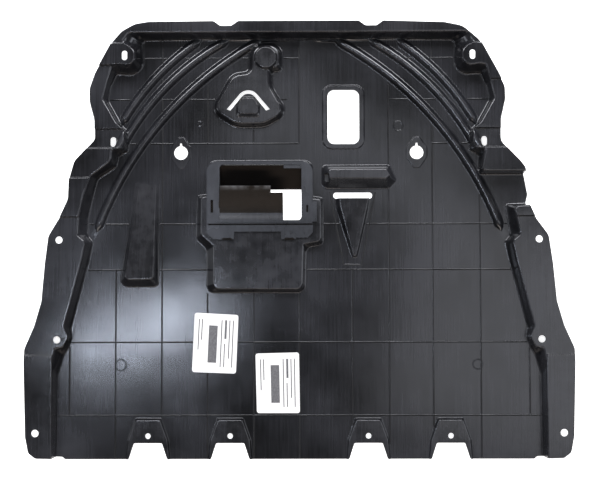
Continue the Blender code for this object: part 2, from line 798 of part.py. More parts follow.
def tray_map(shapes, beads, cuts, edge):
    plan = Map()
    levels = step_levels()
    border = with_crossings(edge, levels)
    plan.line(border, closed=True)
    for shape in shapes:
        rings = shape.rings()
        if shape.outward:
            head = shape.spans.index(1.0)
            rings[head] = with_crossings(rings[head], levels)
            for level in levels:
                for side in (-1, 1):
                    outer = crossing_x(border, level, side)
                    inner = crossing_x(rings[head], level, side)
                    if abs(outer) > abs(inner):
                        plan.line([(inner, level), (outer, level)])
        for ring in rings:
            plan.line(ring, closed=True)
    for cut in cuts:
        plan.line(cut, closed=True)
    for bead in beads:
        plan.line(bead.outline(), closed=True)
        plan.line(bead.offset_line(0.0))
        for share in BEAD_SECTION:
            plan.line(bead.offset_line(share)[1:-1])
    return plan


def surface(points, features):
    """Height of the upper side at each point."""
    heights = np.full(len(points), SHEET)
    for feature in features:
        heights = feature.apply(points, heights)
    return heights


def underside(points, features):
    """Height of the lower side: a ball as thick as the sheet, rolled below the upper side."""
    lowest = surface(points, features) - SHEET
    for tilt in BALL_TILTS:
        reach = SHEET * math.sin(tilt)
        for turn in range(BALL_TURNS):
            angle = turn * 2 * math.pi / BALL_TURNS
            moved = points + reach * np.array((math.cos(angle), math.sin(angle)))
            lowest = np.minimum(lowest, surface(moved, features) - SHEET * math.cos(tilt))
    return np.maximum(lowest, 0.0)


def tray_shell(shapes, beads, cuts, edge):
    """The tray as one closed shell: the upper side, the lower side and the edges between."""
    plan = tray_map(shapes, beads, cuts, edge)
    found = delaunay_2d_cdt(plan.points, plan.edges, [], 0, 1e-4)
    points = np.array([(p.x, p.y) for p in found[0]])
    faces = np.array(found[2])
    centres = points[faces].mean(axis=1)
    kept = inside(centres, edge)
    for cut in cuts:
        kept &= ~inside(centres, cut)
    features = shapes + beads
    heights = surface(points, features)
    depths = underside(points, features)
    mesh = bmesh.new()
    used = np.unique(faces[kept])
    upper = {i: mesh.verts.new(Vector((*points[i], heights[i])) * MM) for i in used}
    lower = {i: mesh.verts.new(Vector((*points[i], depths[i])) * MM) for i in used}
    for a, b, c in faces[kept]:
        mesh.faces.new((upper[a], upper[b], upper[c]))
        mesh.faces.new((lower[c], lower[b], lower[a]))
    corner_of = {vert: i for i, vert in upper.items()}
    rim_loops = [e.link_loops[0] for e in mesh.edges if len(e.link_faces) == 1]
    for loop in rim_loops:
        first = corner_of.get(loop.vert)
        second = corner_of.get(loop.link_loop_next.vert)
        if first is not None:
            mesh.faces.new((upper[second], upper[first], lower[first], lower[second]))
    return mesh


def clipped_runs(axis, place, start, end, keep_in, keep_out):
    """Stretches of a straight rib that lie inside the floor and outside every form."""
    marks = {start, end}
    for loop in [keep_in] + keep_out:
        for here, after in zip(loop, np.roll(loop, -1, axis=0)):
            low, high = sorted((here[axis], after[axis]))
            if low <= place < high:
                share = (place - here[axis]) / (after[axis] - here[axis])
                marks.add(float(here[1 - axis] + share * (after[1 - axis] - here[1 - axis])))
    low, high = min(start, end), max(start, end)
    marks = sorted(m for m in marks if low <= m <= high)
    runs = []
    for a, b in zip(marks, marks[1:]):
        middle = np.array([[place, (a + b) / 2]]) if axis == 0 else np.array([[(a + b) / 2, place]])
        clear = inside(middle, keep_in)[0] and not any(inside(middle, loop)[0] for loop in keep_out)
        if clear and runs and runs[-1][1] == a:
            runs[-1] = (runs[-1][0], b)
        elif clear:
            runs.append((a, b))
    return [run for run in runs if run[1] - run[0] > 3 * RIB_WIDTH]


def rib_bars(shapes, beads, cuts):
    """One mesh of all grid ribs, each a thin bar sunk a little into the floor."""
    floor = shapes[0].foot
    blocked = [shape.foot for shape in shapes[1:]] + list(cuts)
    blocked += [bead.outline() for bead in beads]
    mesh = bmesh.new()
    for axis, ribs in ((0, RIBS_ALONG), (1, RIBS_ACROSS)):
        for place, stretches in ribs:
            for start, end in stretches:
                for low, high in clipped_runs(axis, place, start, end, floor, blocked):
                    low, high = max(low, FRONT + 2) - RIB_BITE, high + RIB_BITE
                    add_bar(mesh, axis, place, low, high)
    return mesh


def add_bar(mesh, axis, place, low, high):
    z0 = SHEET - RIB_ROOT
    z1 = SHEET + RIB_HEIGHT - axis * RIB_CROSSING_DROP
    thin = RIB_WIDTH * 0.35
    wide = RIB_WIDTH * 0.5
    section = [(-wide, z0), (wide, z0), (thin, z1), (-thin, z1)]
    rings = []
    for along in (low, high):
        ring = []
        for across, z in section:
            x, y = (place + across, along) if axis == 0 else (along, place + across)
            ring.append(mesh.verts.new(Vector((x, y, z)) * MM))
        rings.append(ring)
    sides = [mesh.faces.new((rings[0][i], rings[0][i - 1], rings[1][i - 1], rings[1][i])) for i in range(4)]
    ends = [mesh.faces.new(rings[0]), mesh.faces.new(rings[1][::-1])]
    bmesh.ops.recalc_face_normals(mesh, faces=sides + ends)


def new_object(name, mesh, finish):
    data = bpy.data.meshes.new(name)
    mesh.to_mesh(data)
    mesh.free()
    made = bpy.data.objects.new(name, data)
    bpy.context.scene.collection.objects.link(made)
    if finish:
        data.materials.append(finish)
    return made


def as_cutter(item):
    item.hide_render = True
    item.display_type = "WIRE"
    return item


def boolean(target, tool, operation, self_overlap=False):
    step = target.modifiers.new(tool.name, "BOOLEAN")
    step.operation = operation
    step.object = tool
    step.solver = "EXACT"
    step.use_self = self_overlap
    return step


def shield_panel(finish):
    shapes = forms()
    beads = [Bead(arc, side) for arc in BEAD_ARCS for side in (-1, 1)]
    cuts = openings()
    edge = outer_edge()
    panel = new_object("shield_panel", tray_shell(shapes, beads, cuts, edge), finish)
    ribs = as_cutter(new_object("grid_ribs", rib_bars(shapes, beads, cuts), None))
    boolean(panel, ribs, "UNION", self_overlap=True)
    return panel


# The duct insert

def prism(name, outline, low, high, finish=None):
    """A solid with an upright wall: the outline raised from one height to another."""
    mesh = bmesh.new()
    base = [mesh.verts.new(Vector((x, y, low)) * MM) for x, y in outline]
    face = mesh.faces.new(base)
    raised = bmesh.ops.extrude_face_region(mesh, geom=[face])
    moved = [item for item in raised["geom"] if isinstance(item, bmesh.types.BMVert)]
    bmesh.ops.translate(mesh, verts=moved, vec=Vector((0, 0, high - low)) * MM)
    bmesh.ops.recalc_face_normals(mesh, faces=mesh.faces[:])
    return new_object(name, mesh, finish)


def upright(z):
    return 0.0


def sheet_across(name, line, thickness, left, right, lean=upright):
    """A bent sheet: a line in the YZ plane, thickened downwards and drawn out across X.

    Its left side leans inwards by the amount that is given for each height.
    """
    line = [Vector(p) for p in line]
    below = []
    for index, point in enumerate(line):
        before = line[max(index - 1, 0)]
        after = line[min(index + 1, len(line) - 1)]
        heading = (after - before).normalized()
        below.append(point + Vector((heading.y, -heading.x)) * thickness)
    profile = line + below[::-1]
    mesh = bmesh.new()
    face = mesh.faces.new([mesh.verts.new(Vector((left + lean(z), y, z)) * MM) for y, z in profile])
    drawn = bmesh.ops.extrude_face_region(mesh, geom=[face])
    for item in drawn["geom"]:
        if isinstance(item, bmesh.types.BMVert):
            item.co.x = right * MM
    bmesh.ops.recalc_face_normals(mesh, faces=mesh.faces[:])
    return new_object(name, mesh, None)


def duct_bounds():
    """Left, right, front and rear sides of the duct opening."""
    half_width = DUCT_WIDTH / 2
    half_length = DUCT_LENGTH / 2
    return DUCT_X - half_width, DUCT_X + half_width, DUCT_Y - half_length, DUCT_Y + half_length


def frame_outline():
    left, right, front, rear = duct_bounds()
    left -= FRAME_LEFT_MARGIN
    right += FRAME_RIGHT_MARGIN
    front -= FRAME_FRONT_MARGIN
    rear += FRAME_REAR_MARGIN
    gap = FRAME_GAP_WIDTH / 2
    middle = DUCT_X - 5
    corners = [
        (right, rear, FRAME_CORNER), (left, rear, FRAME_CORNER),
        (left, front + FRAME_CHAMFER, 5), (left + FRAME_CHAMFER, front, 5),
        (middle - gap, front, 0), (middle - gap + 1, front + FRAME_GAP_DEPTH, 0),
        (middle + gap - 1, front + FRAME_GAP_DEPTH, 0), (middle + gap, front, 0),
        (right - FRAME_CHAMFER, front, 5), (right, front + FRAME_CHAMFER, 5),
    ]
    return rounded(corners)


def ring_outline():
    left, right, front, rear = duct_bounds()
    left -= FRAME_LEFT_MARGIN - 1.5
    right += FRAME_RIGHT_MARGIN - 1.5
    front -= FRAME_STEP_MARGIN
    rear += FRAME_REAR_MARGIN - 1.5
    corner = FRAME_CORNER - 1.5
    return rounded([(right, rear, corner), (left, rear, corner), (left, front, 0), (right, front, 0)])


def hood_line(base):
    """The hood from the front lip: down into a trough, then up to its free edge."""
    front = duct_bounds()[2]
    line = [(front - 1.0, base + 0.3), (front + 4.5, base - 1.5)]
    start = HOOD_REACH * 0.22
    for step in range(7):
        share = step / 6
        y = front + start + share * (HOOD_REACH - start)
        line.append((y, base - 3.5 + (HOOD_RISE + 3.5) * share ** 1.35))
    return line


def ramp_line(base):
    """The ramp from the rear lip down to its free edge just above the ground."""
    rear = duct_bounds()[3]
    return [(rear - 1.0 - RAMP_LENGTH, RAMP_FOOT_Z), (rear - 1.0, base)]


def duct_insert(finish):
    left, right, front, rear = duct_bounds()
    seat = PLATFORM_Z + SEAT_GAP
    deck = seat + FRAME_BASE
    crown = deck + FRAME_RING
    insert = prism("duct_insert", frame_outline(), seat, deck, finish)
    wall = 2 * COLLAR_WALL
    collar = box_corners(DUCT_X, DUCT_Y, DUCT_WIDTH + wall, DUCT_LENGTH + wall, DUCT_CORNER + COLLAR_WALL)
    mouth = box_corners(DUCT_X, DUCT_Y, DUCT_WIDTH, DUCT_LENGTH, DUCT_CORNER)
    joined = [
        prism("frame_ring", ring_outline(), deck - 1.0, crown),
        prism("collar", rounded(collar), seat - COLLAR_DROP, deck - 0.5),
    ]
    for tool in joined:
        boolean(insert, as_cutter(tool), "UNION")
    removed = [prism("duct_mouth", rounded(mouth), seat - COLLAR_DROP - 5, crown + 5)]
    edge = front - FRAME_FRONT_MARGIN
    for place, width in SNAP_SLOTS:
        slot = rounded(box_corners(DUCT_X + place, edge, width, 2 * SNAP_DEPTH, 0))
        removed.append(prism("snap_slot", slot, seat - 1, deck + 1))
    left_groove = box_corners(left - 12.5, front + 23, 4.2, 21, 0)
    right_groove = box_corners(right + 9.4, front + 18.7, 3.2, 11.5, 0)
    for name, groove in (("left_groove", left_groove), ("right_groove", right_groove)):
        removed.append(prism(name, rounded(groove), deck, crown + 1))
    for tool in removed:
        boolean(insert, as_cutter(tool), "DIFFERENCE")
    hood_right = right - HOOD_OPEN_SIDE
    notch = [
        (hood_right + 1, front + HOOD_REACH - HOOD_NOTCH_LENGTH, 0), (hood_right + 1, front + HOOD_REACH + 9, 0),
        (hood_right - HOOD_NOTCH_WIDTH, front + HOOD_REACH + 9, 0),
        (hood_right - HOOD_NOTCH_WIDTH, front + HOOD_REACH - HOOD_NOTCH_LENGTH, 0),
    ]
    line = hood_line(crown)
    foot = seat + 0.4

    def lean(z):
        return HOOD_LEAN * (z - foot) / (crown + HOOD_RISE - foot)

    hood = sheet_across("hood", line, BLADE, left - COLLAR_WALL - 0.4, hood_right, lean)
    boolean(hood, as_cutter(prism("hood_notch", rounded(notch), deck, crown + 2 * HOOD_RISE)), "DIFFERENCE")
    cheek = cheek_panel(line, foot, left - COLLAR_WALL + 0.2, left + 0.2, lean)
    ramp = sheet_across("ramp", ramp_line(deck - 0.3), BLADE, left - COLLAR_WALL, right + COLLAR_WALL)
    inner = box_corners(DUCT_X, DUCT_Y, DUCT_WIDTH + COLLAR_WALL, DUCT_LENGTH + COLLAR_WALL, DUCT_CORNER + 1)
    boolean(ramp, as_cutter(prism("ramp_bounds", rounded(inner), 0.0, crown)), "INTERSECT")
    guide = prism("guide_bar", rounded(box_corners(right + 15, front + 14, 6.6, 30, 0)), crown - 0.5, crown + 2)
    tab_x = right + 1 - FRAME_TAB_WIDTH / 2
    tab_y = rear + 1 - FRAME_TAB_DEPTH / 2
    tab_box = box_corners(tab_x, tab_y, FRAME_TAB_WIDTH, FRAME_TAB_DEPTH + 1, 0)
    tab = prism("frame_tab", rounded(tab_box), deck - 0.8, crown - 0.4)
    for tool in (hood, cheek, ramp, guide, tab):
        boolean(insert, as_cutter(tool), "UNION")
    return insert


def cheek_panel(line, base, left, right, lean):
    """The upright side of the hood, from the frame up to the hood's own line."""
    points = [Vector(p) - Vector((0.0, BLADE * 0.7)) for p in line[1:]]
    points[-1].x -= 0.5
    profile = [Vector((points[0].x, base))] + points + [Vector((points[-1].x, base))]
    mesh = bmesh.new()
    face = mesh.faces.new([mesh.verts.new(Vector((left + lean(z), y, z)) * MM) for y, z in profile])
    drawn = bmesh.ops.extrude_face_region(mesh, geom=[face])
    moved = [item for item in drawn["geom"] if isinstance(item, bmesh.types.BMVert)]
    bmesh.ops.translate(mesh, verts=moved, vec=Vector((right - left, 0, 0)) * MM)
    bmesh.ops.recalc_face_normals(mesh, faces=mesh.faces[:])
    return new_object("cheek_panel", mesh, None)


clear_scene()
tray_plastic = material("tray_plastic", (0.035, 0.037, 0.042), 0.5)
insert_plastic = material("insert_plastic", (0.055, 0.058, 0.066), 0.45)
shield_panel(tray_plastic)
duct_insert(insert_plastic)
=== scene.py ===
import math

import bmesh
import bpy
import numpy as np
from mathutils import Matrix, Vector
from mathutils.geometry import delaunay_2d_cdt


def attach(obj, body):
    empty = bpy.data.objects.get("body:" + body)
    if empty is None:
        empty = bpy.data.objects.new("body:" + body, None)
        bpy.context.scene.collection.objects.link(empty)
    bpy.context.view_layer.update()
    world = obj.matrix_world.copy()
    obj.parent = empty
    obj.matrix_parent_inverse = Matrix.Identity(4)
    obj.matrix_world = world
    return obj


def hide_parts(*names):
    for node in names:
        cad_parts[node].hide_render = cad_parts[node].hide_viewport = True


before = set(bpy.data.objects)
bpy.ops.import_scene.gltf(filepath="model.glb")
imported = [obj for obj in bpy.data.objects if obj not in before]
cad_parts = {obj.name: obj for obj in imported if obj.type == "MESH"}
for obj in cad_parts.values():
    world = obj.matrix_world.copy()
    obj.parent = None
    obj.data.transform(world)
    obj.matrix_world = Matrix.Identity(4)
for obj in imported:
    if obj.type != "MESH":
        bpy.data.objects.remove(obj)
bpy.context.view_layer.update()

mm = 0.001

# the camera stands where the photograph was taken, straight over the tray; angles are in degrees
view = {
    "place": (0.01605, -0.0985, 2.0), "pitch": 2.870, "yaw": 0.416, "roll": -0.132,
    "lens": 72.72, "sensor": 36.0,
}


def addCamera():
    data = bpy.data.cameras.new("viewCamera")
    data.lens = view["lens"]
    data.sensor_width = view["sensor"]
    camera = bpy.data.objects.new("viewCamera", data)
    bpy.context.scene.collection.objects.link(camera)
    turn = Matrix()
    for angle, axis in (("roll", "Z"), ("yaw", "Y"), ("pitch", "X")):
        turn = turn @ Matrix.Rotation(math.radians(view[angle]), 4, axis)
    camera.matrix_world = Matrix.Translation(view["place"]) @ turn
    bpy.context.scene.camera = camera


addCamera()
print("stage: camera")


def feed(tree, socket, source):
    # an input takes the output of another node, or a value
    if isinstance(source, bpy.types.NodeSocket):
        tree.links.new(source, socket)
    else:
        socket.default_value = source


def addNode(tree, kind, inputs=None, **settings):
    node = tree.nodes.new(kind)
    for name, value in settings.items():
        setattr(node, name, value)
    for name, source in (inputs or {}).items():
        feed(tree, node.inputs[name], source)
    return node


def addMath(tree, operation, *values, clamped=False):
    node = addNode(tree, "ShaderNodeMath", dict(enumerate(values)), operation=operation, use_clamp=clamped)
    return node.outputs[0]


def addNoise(tree, vector, scale, **details):
    return addNode(tree, "ShaderNodeTexNoise", {"Vector": vector, "Scale": scale, **details}).outputs["Fac"]


def addMix(tree, kind, factor, first, second):
    mixed = addNode(tree, "ShaderNodeMix", {"Factor": factor, "A": first, "B": second}, data_type=kind)
    return mixed.outputs["Result"]


def addRange(tree, value, start, end, low=0.0, high=1.0):
    ends = {"Value": value, "From Min": start, "From Max": end, "To Min": low, "To Max": high}
    return addNode(tree, "ShaderNodeMapRange", ends).outputs["Result"]


def addRamp(tree, factor, low, high):
    # a ramp between two colours, each with its place
    ramp = addNode(tree, "ShaderNodeValToRGB", {"Fac": factor})
    for element, (position, colour) in zip(ramp.color_ramp.elements, (low, high)):
        element.position = position
        element.color = (*colour, 1.0)
    return ramp.outputs["Color"]


def newGroup(name, inputs, outputs):
    # an input without a value is a vector, and all the others are numbers
    group = bpy.data.node_groups.new(name, "ShaderNodeTree")
    for label, value in inputs.items():
        kind = "NodeSocketVector" if value is None else "NodeSocketFloat"
        socket = group.interface.new_socket(name=label, in_out="INPUT", socket_type=kind)
        if value is not None:
            socket.default_value = value
    for label in outputs:
        group.interface.new_socket(name=label, in_out="OUTPUT", socket_type="NodeSocketFloat")
    return group, addNode(group, "NodeGroupInput").outputs


def newMaterial(name):
    made = bpy.data.materials.new(name)
    made.use_nodes = True
    return made, made.node_tree.nodes["Principled BSDF"].inputs


def makeStreakGroup():
    # long fine streaks that the flow of the plastic leaves along the tray, and a fine pebble
    sizes = {"Vector": None, "Across": 420.0, "Along": 9.0, "Pebble": 1400.0}
    group, given = newGroup("flowStreaks", sizes, ["Streaks", "Pebbles"])
    axes = {"X": given["Across"], "Y": given["Along"], "Z": given["Across"]}
    stretch = addNode(group, "ShaderNodeCombineXYZ", axes).outputs[0]
    scaled = addNode(group, "ShaderNodeVectorMath", {0: given["Vector"], 1: stretch}, operation="MULTIPLY")
    streaks = addNoise(group, scaled.outputs[0], 1.0, Detail=5.0, Roughness=0.62)
    pebbles = addNoise(group, given["Vector"], given["Pebble"], Detail=2.0)
    addNode(group, "NodeGroupOutput", {"Streaks": streaks, "Pebbles": pebbles})
    return group


def makeEdgeHighlightGroup():
    # painted highlight along edges: the mesh says where an edge is, and noise breaks it up
    sizes = {"Vector": None, "Edge": 0.0, "Scale": 60.0, "Amount": 0.5}
    group, given = newGroup("edgeHighlights", sizes, ["Highlight"])
    noise = addNoise(group, given["Vector"], given["Scale"], Detail=6.0)
    masked = addMath(group, "MULTIPLY", addRange(group, noise, 0.35, 0.7), given["Edge"])
    addNode(group, "NodeGroupOutput", {"Highlight": addMath(group, "MULTIPLY", masked, given["Amount"])})
    return group


flowStreaks = makeStreakGroup()
edgeHighlights = makeEdgeHighlightGroup()

# each plastic's tone runs at random from dark to light; its lighter colour is painted as a highlight where the
# mask is above zero
mouldedPlastic = {
    "trayPlastic": {
        "dark": (0.0026, 0.0027, 0.0033), "light": (0.0165, 0.017, 0.0205), "highlit": (0.06, 0.061, 0.068),
        "tint": (0.96, 0.97, 1.0), "gloss": 0.5, "rough": (0.11, 0.21), "across": 420.0, "along": 9.0,
        "paintedHighlight": 0.6, "streakBump": 0.11, "pebbleBump": 0.1,
    },
    "insertPlastic": {
        "dark": (0.0105, 0.0112, 0.0138), "light": (0.027, 0.0285, 0.0345), "highlit": (0.12, 0.123, 0.132),
        "tint": (0.95, 0.97, 1.0), "gloss": 0.5, "rough": (0.22, 0.32), "across": 160.0, "along": 60.0,
        "paintedHighlight": 0.9, "streakBump": 0.08, "pebbleBump": 0.1,
    },
    # a darker, duller copy of the insert's plastic: painted shade in the hollow of the hood
    "hoodShadePlastic": {
        "dark": (0.0026, 0.0024, 0.0023), "light": (0.0075, 0.0068, 0.0064), "highlit": (0.12, 0.122, 0.13),
        "tint": (1.0, 0.9, 0.82), "gloss": 0.2, "rough": (0.42, 0.5), "across": 160.0, "along": 60.0,
        "paintedHighlight": 1.0, "streakBump": 0.08, "pebbleBump": 0.1,
    },
    # near black: painted shade on the ramp in the duct and in the pits, the groove and the slots
    "paintedShadePlastic": {
        "dark": (0.0007, 0.0007, 0.0008), "light": (0.0016, 0.0015, 0.0015), "highlit": (0.02, 0.02, 0.02),
        "tint": (1.0, 0.85, 0.75), "gloss": 0.12, "rough": (0.4, 0.5), "across": 160.0, "along": 60.0,
        "paintedHighlight": 0.2, "streakBump": 0.05, "pebbleBump": 0.1,
    },
}

# what all the plastics share: large patches, the painted shade beside a rib, and each bump's depth in metres
# patches and waves have a scale and a detail
plasticShare = {
    "patches": (7.0, 4.0), "patchRange": (0.3, 0.75), "streakShare": 0.6, "rampFrom": 0.62,
    "paintedShadeColour": (0.0006, 0.0006, 0.0007), "paintedShadeRough": 0.9,
    "waves": (14.0, 1.0), "waveBump": 0.25, "waveDepth": 0.0012, "streakDepth": 0.0004, "pebbleDepth": 0.0003,
}


def makePlastic(name):
    look = mouldedPlastic[name]
    share = plasticShare
    made, sockets = newMaterial(name)
    tree = made.node_tree
    sockets["Specular Tint"].default_value = (*look["tint"], 1.0)
    sockets["Specular IOR Level"].default_value = look["gloss"]
    place = addNode(tree, "ShaderNodeTexCoord").outputs["Object"]
    grainSizes = {"Vector": place, "Across": look["across"], "Along": look["along"]}
    grain = addNode(tree, "ShaderNodeGroup", grainSizes, node_tree=flowStreaks).outputs
    patches = addNoise(tree, place, share["patches"][0], Detail=share["patches"][1])
    tone = addMath(tree, "MULTIPLY_ADD", grain["Streaks"], share["streakShare"], patches)
    colour = addRamp(tree, tone, (share["rampFrom"], look["dark"]), (1.0, look["light"]))
    # the mask is above zero where an edge gets a painted highlight, and below zero where a rib's far side gets
    # painted shade
    edge = addNode(tree, "ShaderNodeAttribute", attribute_name="paintedLightMask").outputs["Fac"]
    highlightInputs = {"Vector": place, "Edge": edge, "Amount": look["paintedHighlight"]}
    paintedHighlight = addNode(tree, "ShaderNodeGroup", highlightInputs, node_tree=edgeHighlights).outputs["Highlight"]
    colour = addMix(tree, "RGBA", paintedHighlight, colour, (*look["highlit"], 1.0))
    # painted shade: where the mask is below zero the colour goes near black and the surface rough
    corner = addMath(tree, "MULTIPLY", edge, -1.0, clamped=True)
    colour = addMix(tree, "RGBA", corner, colour, (*share["paintedShadeColour"], 1.0))
    feed(tree, sockets["Base Color"], colour)
    rough = addRange(tree, patches, *share["patchRange"], *look["rough"])
    feed(tree, sockets["Roughness"], addMix(tree, "FLOAT", corner, rough, share["paintedShadeRough"]))
    waves = addNoise(tree, place, share["waves"][0], Detail=share["waves"][1])
    normal = None
    for height, strength, depth in (
        (waves, share["waveBump"], share["waveDepth"]),
        (grain["Streaks"], look["streakBump"], share["streakDepth"]),
        (grain["Pebbles"], look["pebbleBump"], share["pebbleDepth"]),
    ):
        bump = addNode(tree, "ShaderNodeBump", {"Height": height, "Strength": strength, "Distance": depth})
        if normal:
            feed(tree, bump.inputs["Normal"], normal)
        normal = bump.outputs["Normal"]
    feed(tree, sockets["Normal"], normal)
    return made


materials = {name: makePlastic(name) for name in mouldedPlastic}
print("stage: plastics")


# the tray, in millimetres; a corner of an outline is (x, y, radius)
tray = {
    "halfWidth": 446.0, "rear": 358.5, "front": -358.5, "sheet": 2.4,
    "flange": 35.0, "boltPad": 40.0, "midPad": 31.0, "midFlange": 33.0, "frontFlange": 32.5, "stepRun": 3.0,
    "wallRadius": 3.6, "filletShare": 0.47, "filletLimit": 0.9,
    "wallLines": (0.0, 0.07, 0.14, 0.21, 0.28, 0.36),
    "edgeRound": 0.6, "edgeLines": (0.12, 0.4, 1.0), "arcDegrees": 9.0, "arcShare": 0.46, "roundSteps": 36,
    # the painted highlight on the head of a wall, on a pod's top and down its wall, and along the rounded edges
    "highlightHead": 1.8, "highlightTop": 0.35, "highlightWall": 0.22, "highlightEdge": 1.2,
    "ballTilts": (40, 70, 90), "ballTurns": 8, "smoothAngle": 50, "drawnApart": 1e-3,
}
sheet = tray["sheet"]
rear = tray["rear"]
front = tray["front"]
half = tray["halfWidth"]

# the rim, from the rear corner forward: inset, place and radius of the wall's top, then of its foot
rearRim = [
    (168, rear - 16, 12, 189, rear - 27, 6), (155, rear - 34, 4, 188.5, rear - 37, 3),
    (168, rear - 42, 8, 189, rear - 45, 3), (176.5, rear - 50, 8, 189.5, rear - 53, 3),
    (176.5, rear - 65, 10, 189.5, rear - 70, 24), (167, rear - 73, 10, 174, rear - 86, 24),
    (149, rear - 70, 6, 152, rear - 84, 8), (138, rear - 72.5, 6, 145, rear - 84, 5),
    (131, rear - 100.5, 20, 135, rear - 102.5, 20), (123, rear - 128.5, 10, 132, rear - 126.5, 8),
    (146, 190, 10, 154.5, 191, 8), (159, 177, 6, 165, 181, 8),
    (159, 151, 6, 165.5, 144, 8), (138, 149, 6, 149, 143, 6),
]
closedRim = [
    (137.5, 130, 12, 146, 121, 10), (105, 106, 12, 115, 101, 10),
    (93, 73, 30, 108, 74, 20), (85, 38, 20, 99, 36, 15),
]
openRim = [
    (146, 113, 5, 152, 106, 5), (40, 113, 5, 40, 106, 5), (40, 53, 5, 40, 62, 5), (94, 51, 6, 107, 60, 6),
]
frontRim = [
    (83, 6, 8, 99.5, 8, 8), (96, -4, 8, 108.5, -3, 8), (89, -38, 40, 101, -35, 40), (62, -141, 6, 72, -146, 6),
    (70.5, -158, 10, 74.5, -160, 10), (61, -174, 6, 67, -179, 8), (49, -174, 5, 60, -190, 6),
    (44, -192, 8, 50, -226, 20), (44, front - 20, 2, 49.5, front - 20, 2),
]
# the outer edge on both sides: inset, place and radius
openEdge = [
    (207, rear - 3, 30), (177, rear - 9, 30), (149, rear - 33, 40), (120, rear - 86.5, 60),
    (109, rear - 109.5, 22), (108.5, rear - 130.5, 22), (116, 196, 20), (116, 160, 16),
    (84, 127, 12), (76.5, 117, 12), (68.5, 74, 10), (72, 60, 6), (60, 33, 20),
    (40, 6, 20), (33.5, -40, 50), (28, -101, 20), (16.5, -141, 30),
]
closedEdge = [
    (200, rear - 1, 20), (178, rear - 4.5, 30), (157, rear - 16, 25), (141, rear - 34, 40),
    (113, rear - 85.5, 60), (104, rear - 111.5, 25), (104.5, rear - 132.5, 25), (112.5, 196, 25),
    (113, 164, 12), (79.5, 129, 25), (71, 98, 30), (70, 66, 25), (55.5, 35, 20),
    (38, 6, 20), (32.5, -40, 50), (27.5, -101, 20), (16, -141, 30),
]
frontEdge = [
    (0, -178, 18), (0, -202, 30), (3.5, front + 40, 20), (8.5, front + 14, 9), (20, front + 5, 9),
    (58, front + 4, 10), (62, front, 4),
]
rearNotch = [(139, rear, 6), (128, rear - 8, 6), (110, rear - 8, 6), (99, rear, 6)]


def rimSteps(padEnd, midEnd):
    # the places where the rim's height changes, with the names of the heights behind and in front
    heights = ["flange", "boltPad", "flange", "midPad", "midFlange", "flange", "frontFlange", "flange"]
    return list(zip((rear - 37, padEnd, 181, 150, midEnd, 37, -187), heights, heights[1:]))


closedSteps = rimSteps(rear - 73, 101)
openSteps = rimSteps(rear - 97, 60)


def turnAngle(before, corner, after):
    inward = Vector(corner[:2]) - Vector(before[:2])
    outward = Vector(after[:2]) - Vector(corner[:2])
    return abs(inward.angle_signed(outward, 0.0))


def arcCounts(corners):
    counts = []
    for index, corner in enumerate(corners):
        turned = math.degrees(turnAngle(corners[index - 1], corner, corners[(index + 1) % len(corners)]))
        counts.append(1 + math.ceil(turned / tray["arcDegrees"]) if corner[2] > 0 else 1)
    return counts


def roundedLoop(corners, counts=None):
    # each corner becomes an arc, drawn as a rational curve so that it meets both sides smoothly
    counts = counts or arcCounts(corners)
    points = []
    for index, corner in enumerate(corners):
        here = Vector(corner[:2])
        back = Vector(corners[index - 1][:2]) - here
        ahead = Vector(corners[(index + 1) % len(corners)][:2]) - here
        turned = turnAngle(corners[index - 1], corner, corners[(index + 1) % len(corners)])
        reach = min(corner[2] * math.tan(turned / 2), tray["arcShare"] * min(back.length, ahead.length))
        if counts[index] == 1:
            points.append(here)
            continue
        start = here + back.normalized() * reach
        end = here + ahead.normalized() * reach
        weight = math.cos(turned / 2)
        for step in range(counts[index]):
            t = step / (counts[index] - 1)
            parts = ((1 - t) ** 2, 2 * t * (1 - t) * weight, t * t)
            points.append((start * parts[0] + here * parts[1] + end * parts[2]) / sum(parts))
    return np.array([(p.x, p.y) for p in points])


def mirrorCorners(corners):
    return [(-c[0],) + tuple(c[1:]) for c in reversed(corners)]


def boxCorners(x, y, width, length, radius):
    w = width / 2
    h = length / 2
    return [(x + w, y + h, radius), (x - w, y + h, radius), (x - w, y - h, radius), (x + w, y - h, radius)]


def shifted(corners, x, y):
    return [(x + c[0], y + c[1], c[2]) for c in corners]


def circleLoop(x, y, diameter, steps):
    turns = np.arange(steps) * 2 * math.pi / steps
    return np.column_stack((x + diameter / 2 * np.cos(turns), y + diameter / 2 * np.sin(turns)))


def insetCorners(corners, distance):
    moved = []
    total = len(corners)
    for index, corner in enumerate(corners):
        here = Vector(corner[:2])
        first = (here - Vector(corners[index - 1][:2])).normalized()
        second = (Vector(corners[(index + 1) % total][:2]) - here).normalized()
        normalA = Vector((-first.y, first.x))
        normalB = Vector((-second.y, second.x))
        middle = (normalA + normalB).normalized()
        point = here + middle * (distance / max(middle.dot(normalA), 0.4))
        convex = first.x * second.y - first.y * second.x > 0
        moved.append((point.x, point.y, max(corner[2] - distance if convex else corner[2] + distance, 1.0)))
    return moved


def offsetLoop(loop, distance):
    # moves a closed line sideways: inwards for a positive distance
    ahead = np.roll(loop, -1, axis=0) - loop
    ahead /= np.maximum(np.linalg.norm(ahead, axis=1, keepdims=True), 1e-9)
    back = np.roll(ahead, 1, axis=0)
    area = np.sum(loop[:, 0] * np.roll(loop[:, 1], -1) - loop[:, 1] * np.roll(loop[:, 0], -1))
    left = np.column_stack((-ahead[:, 1] - back[:, 1], ahead[:, 0] + back[:, 0])) * np.sign(area)
    size = np.maximum(np.linalg.norm(left, axis=1, keepdims=True), 1e-9)
    return loop + left / size * distance / np.maximum(size / 2, 0.5)


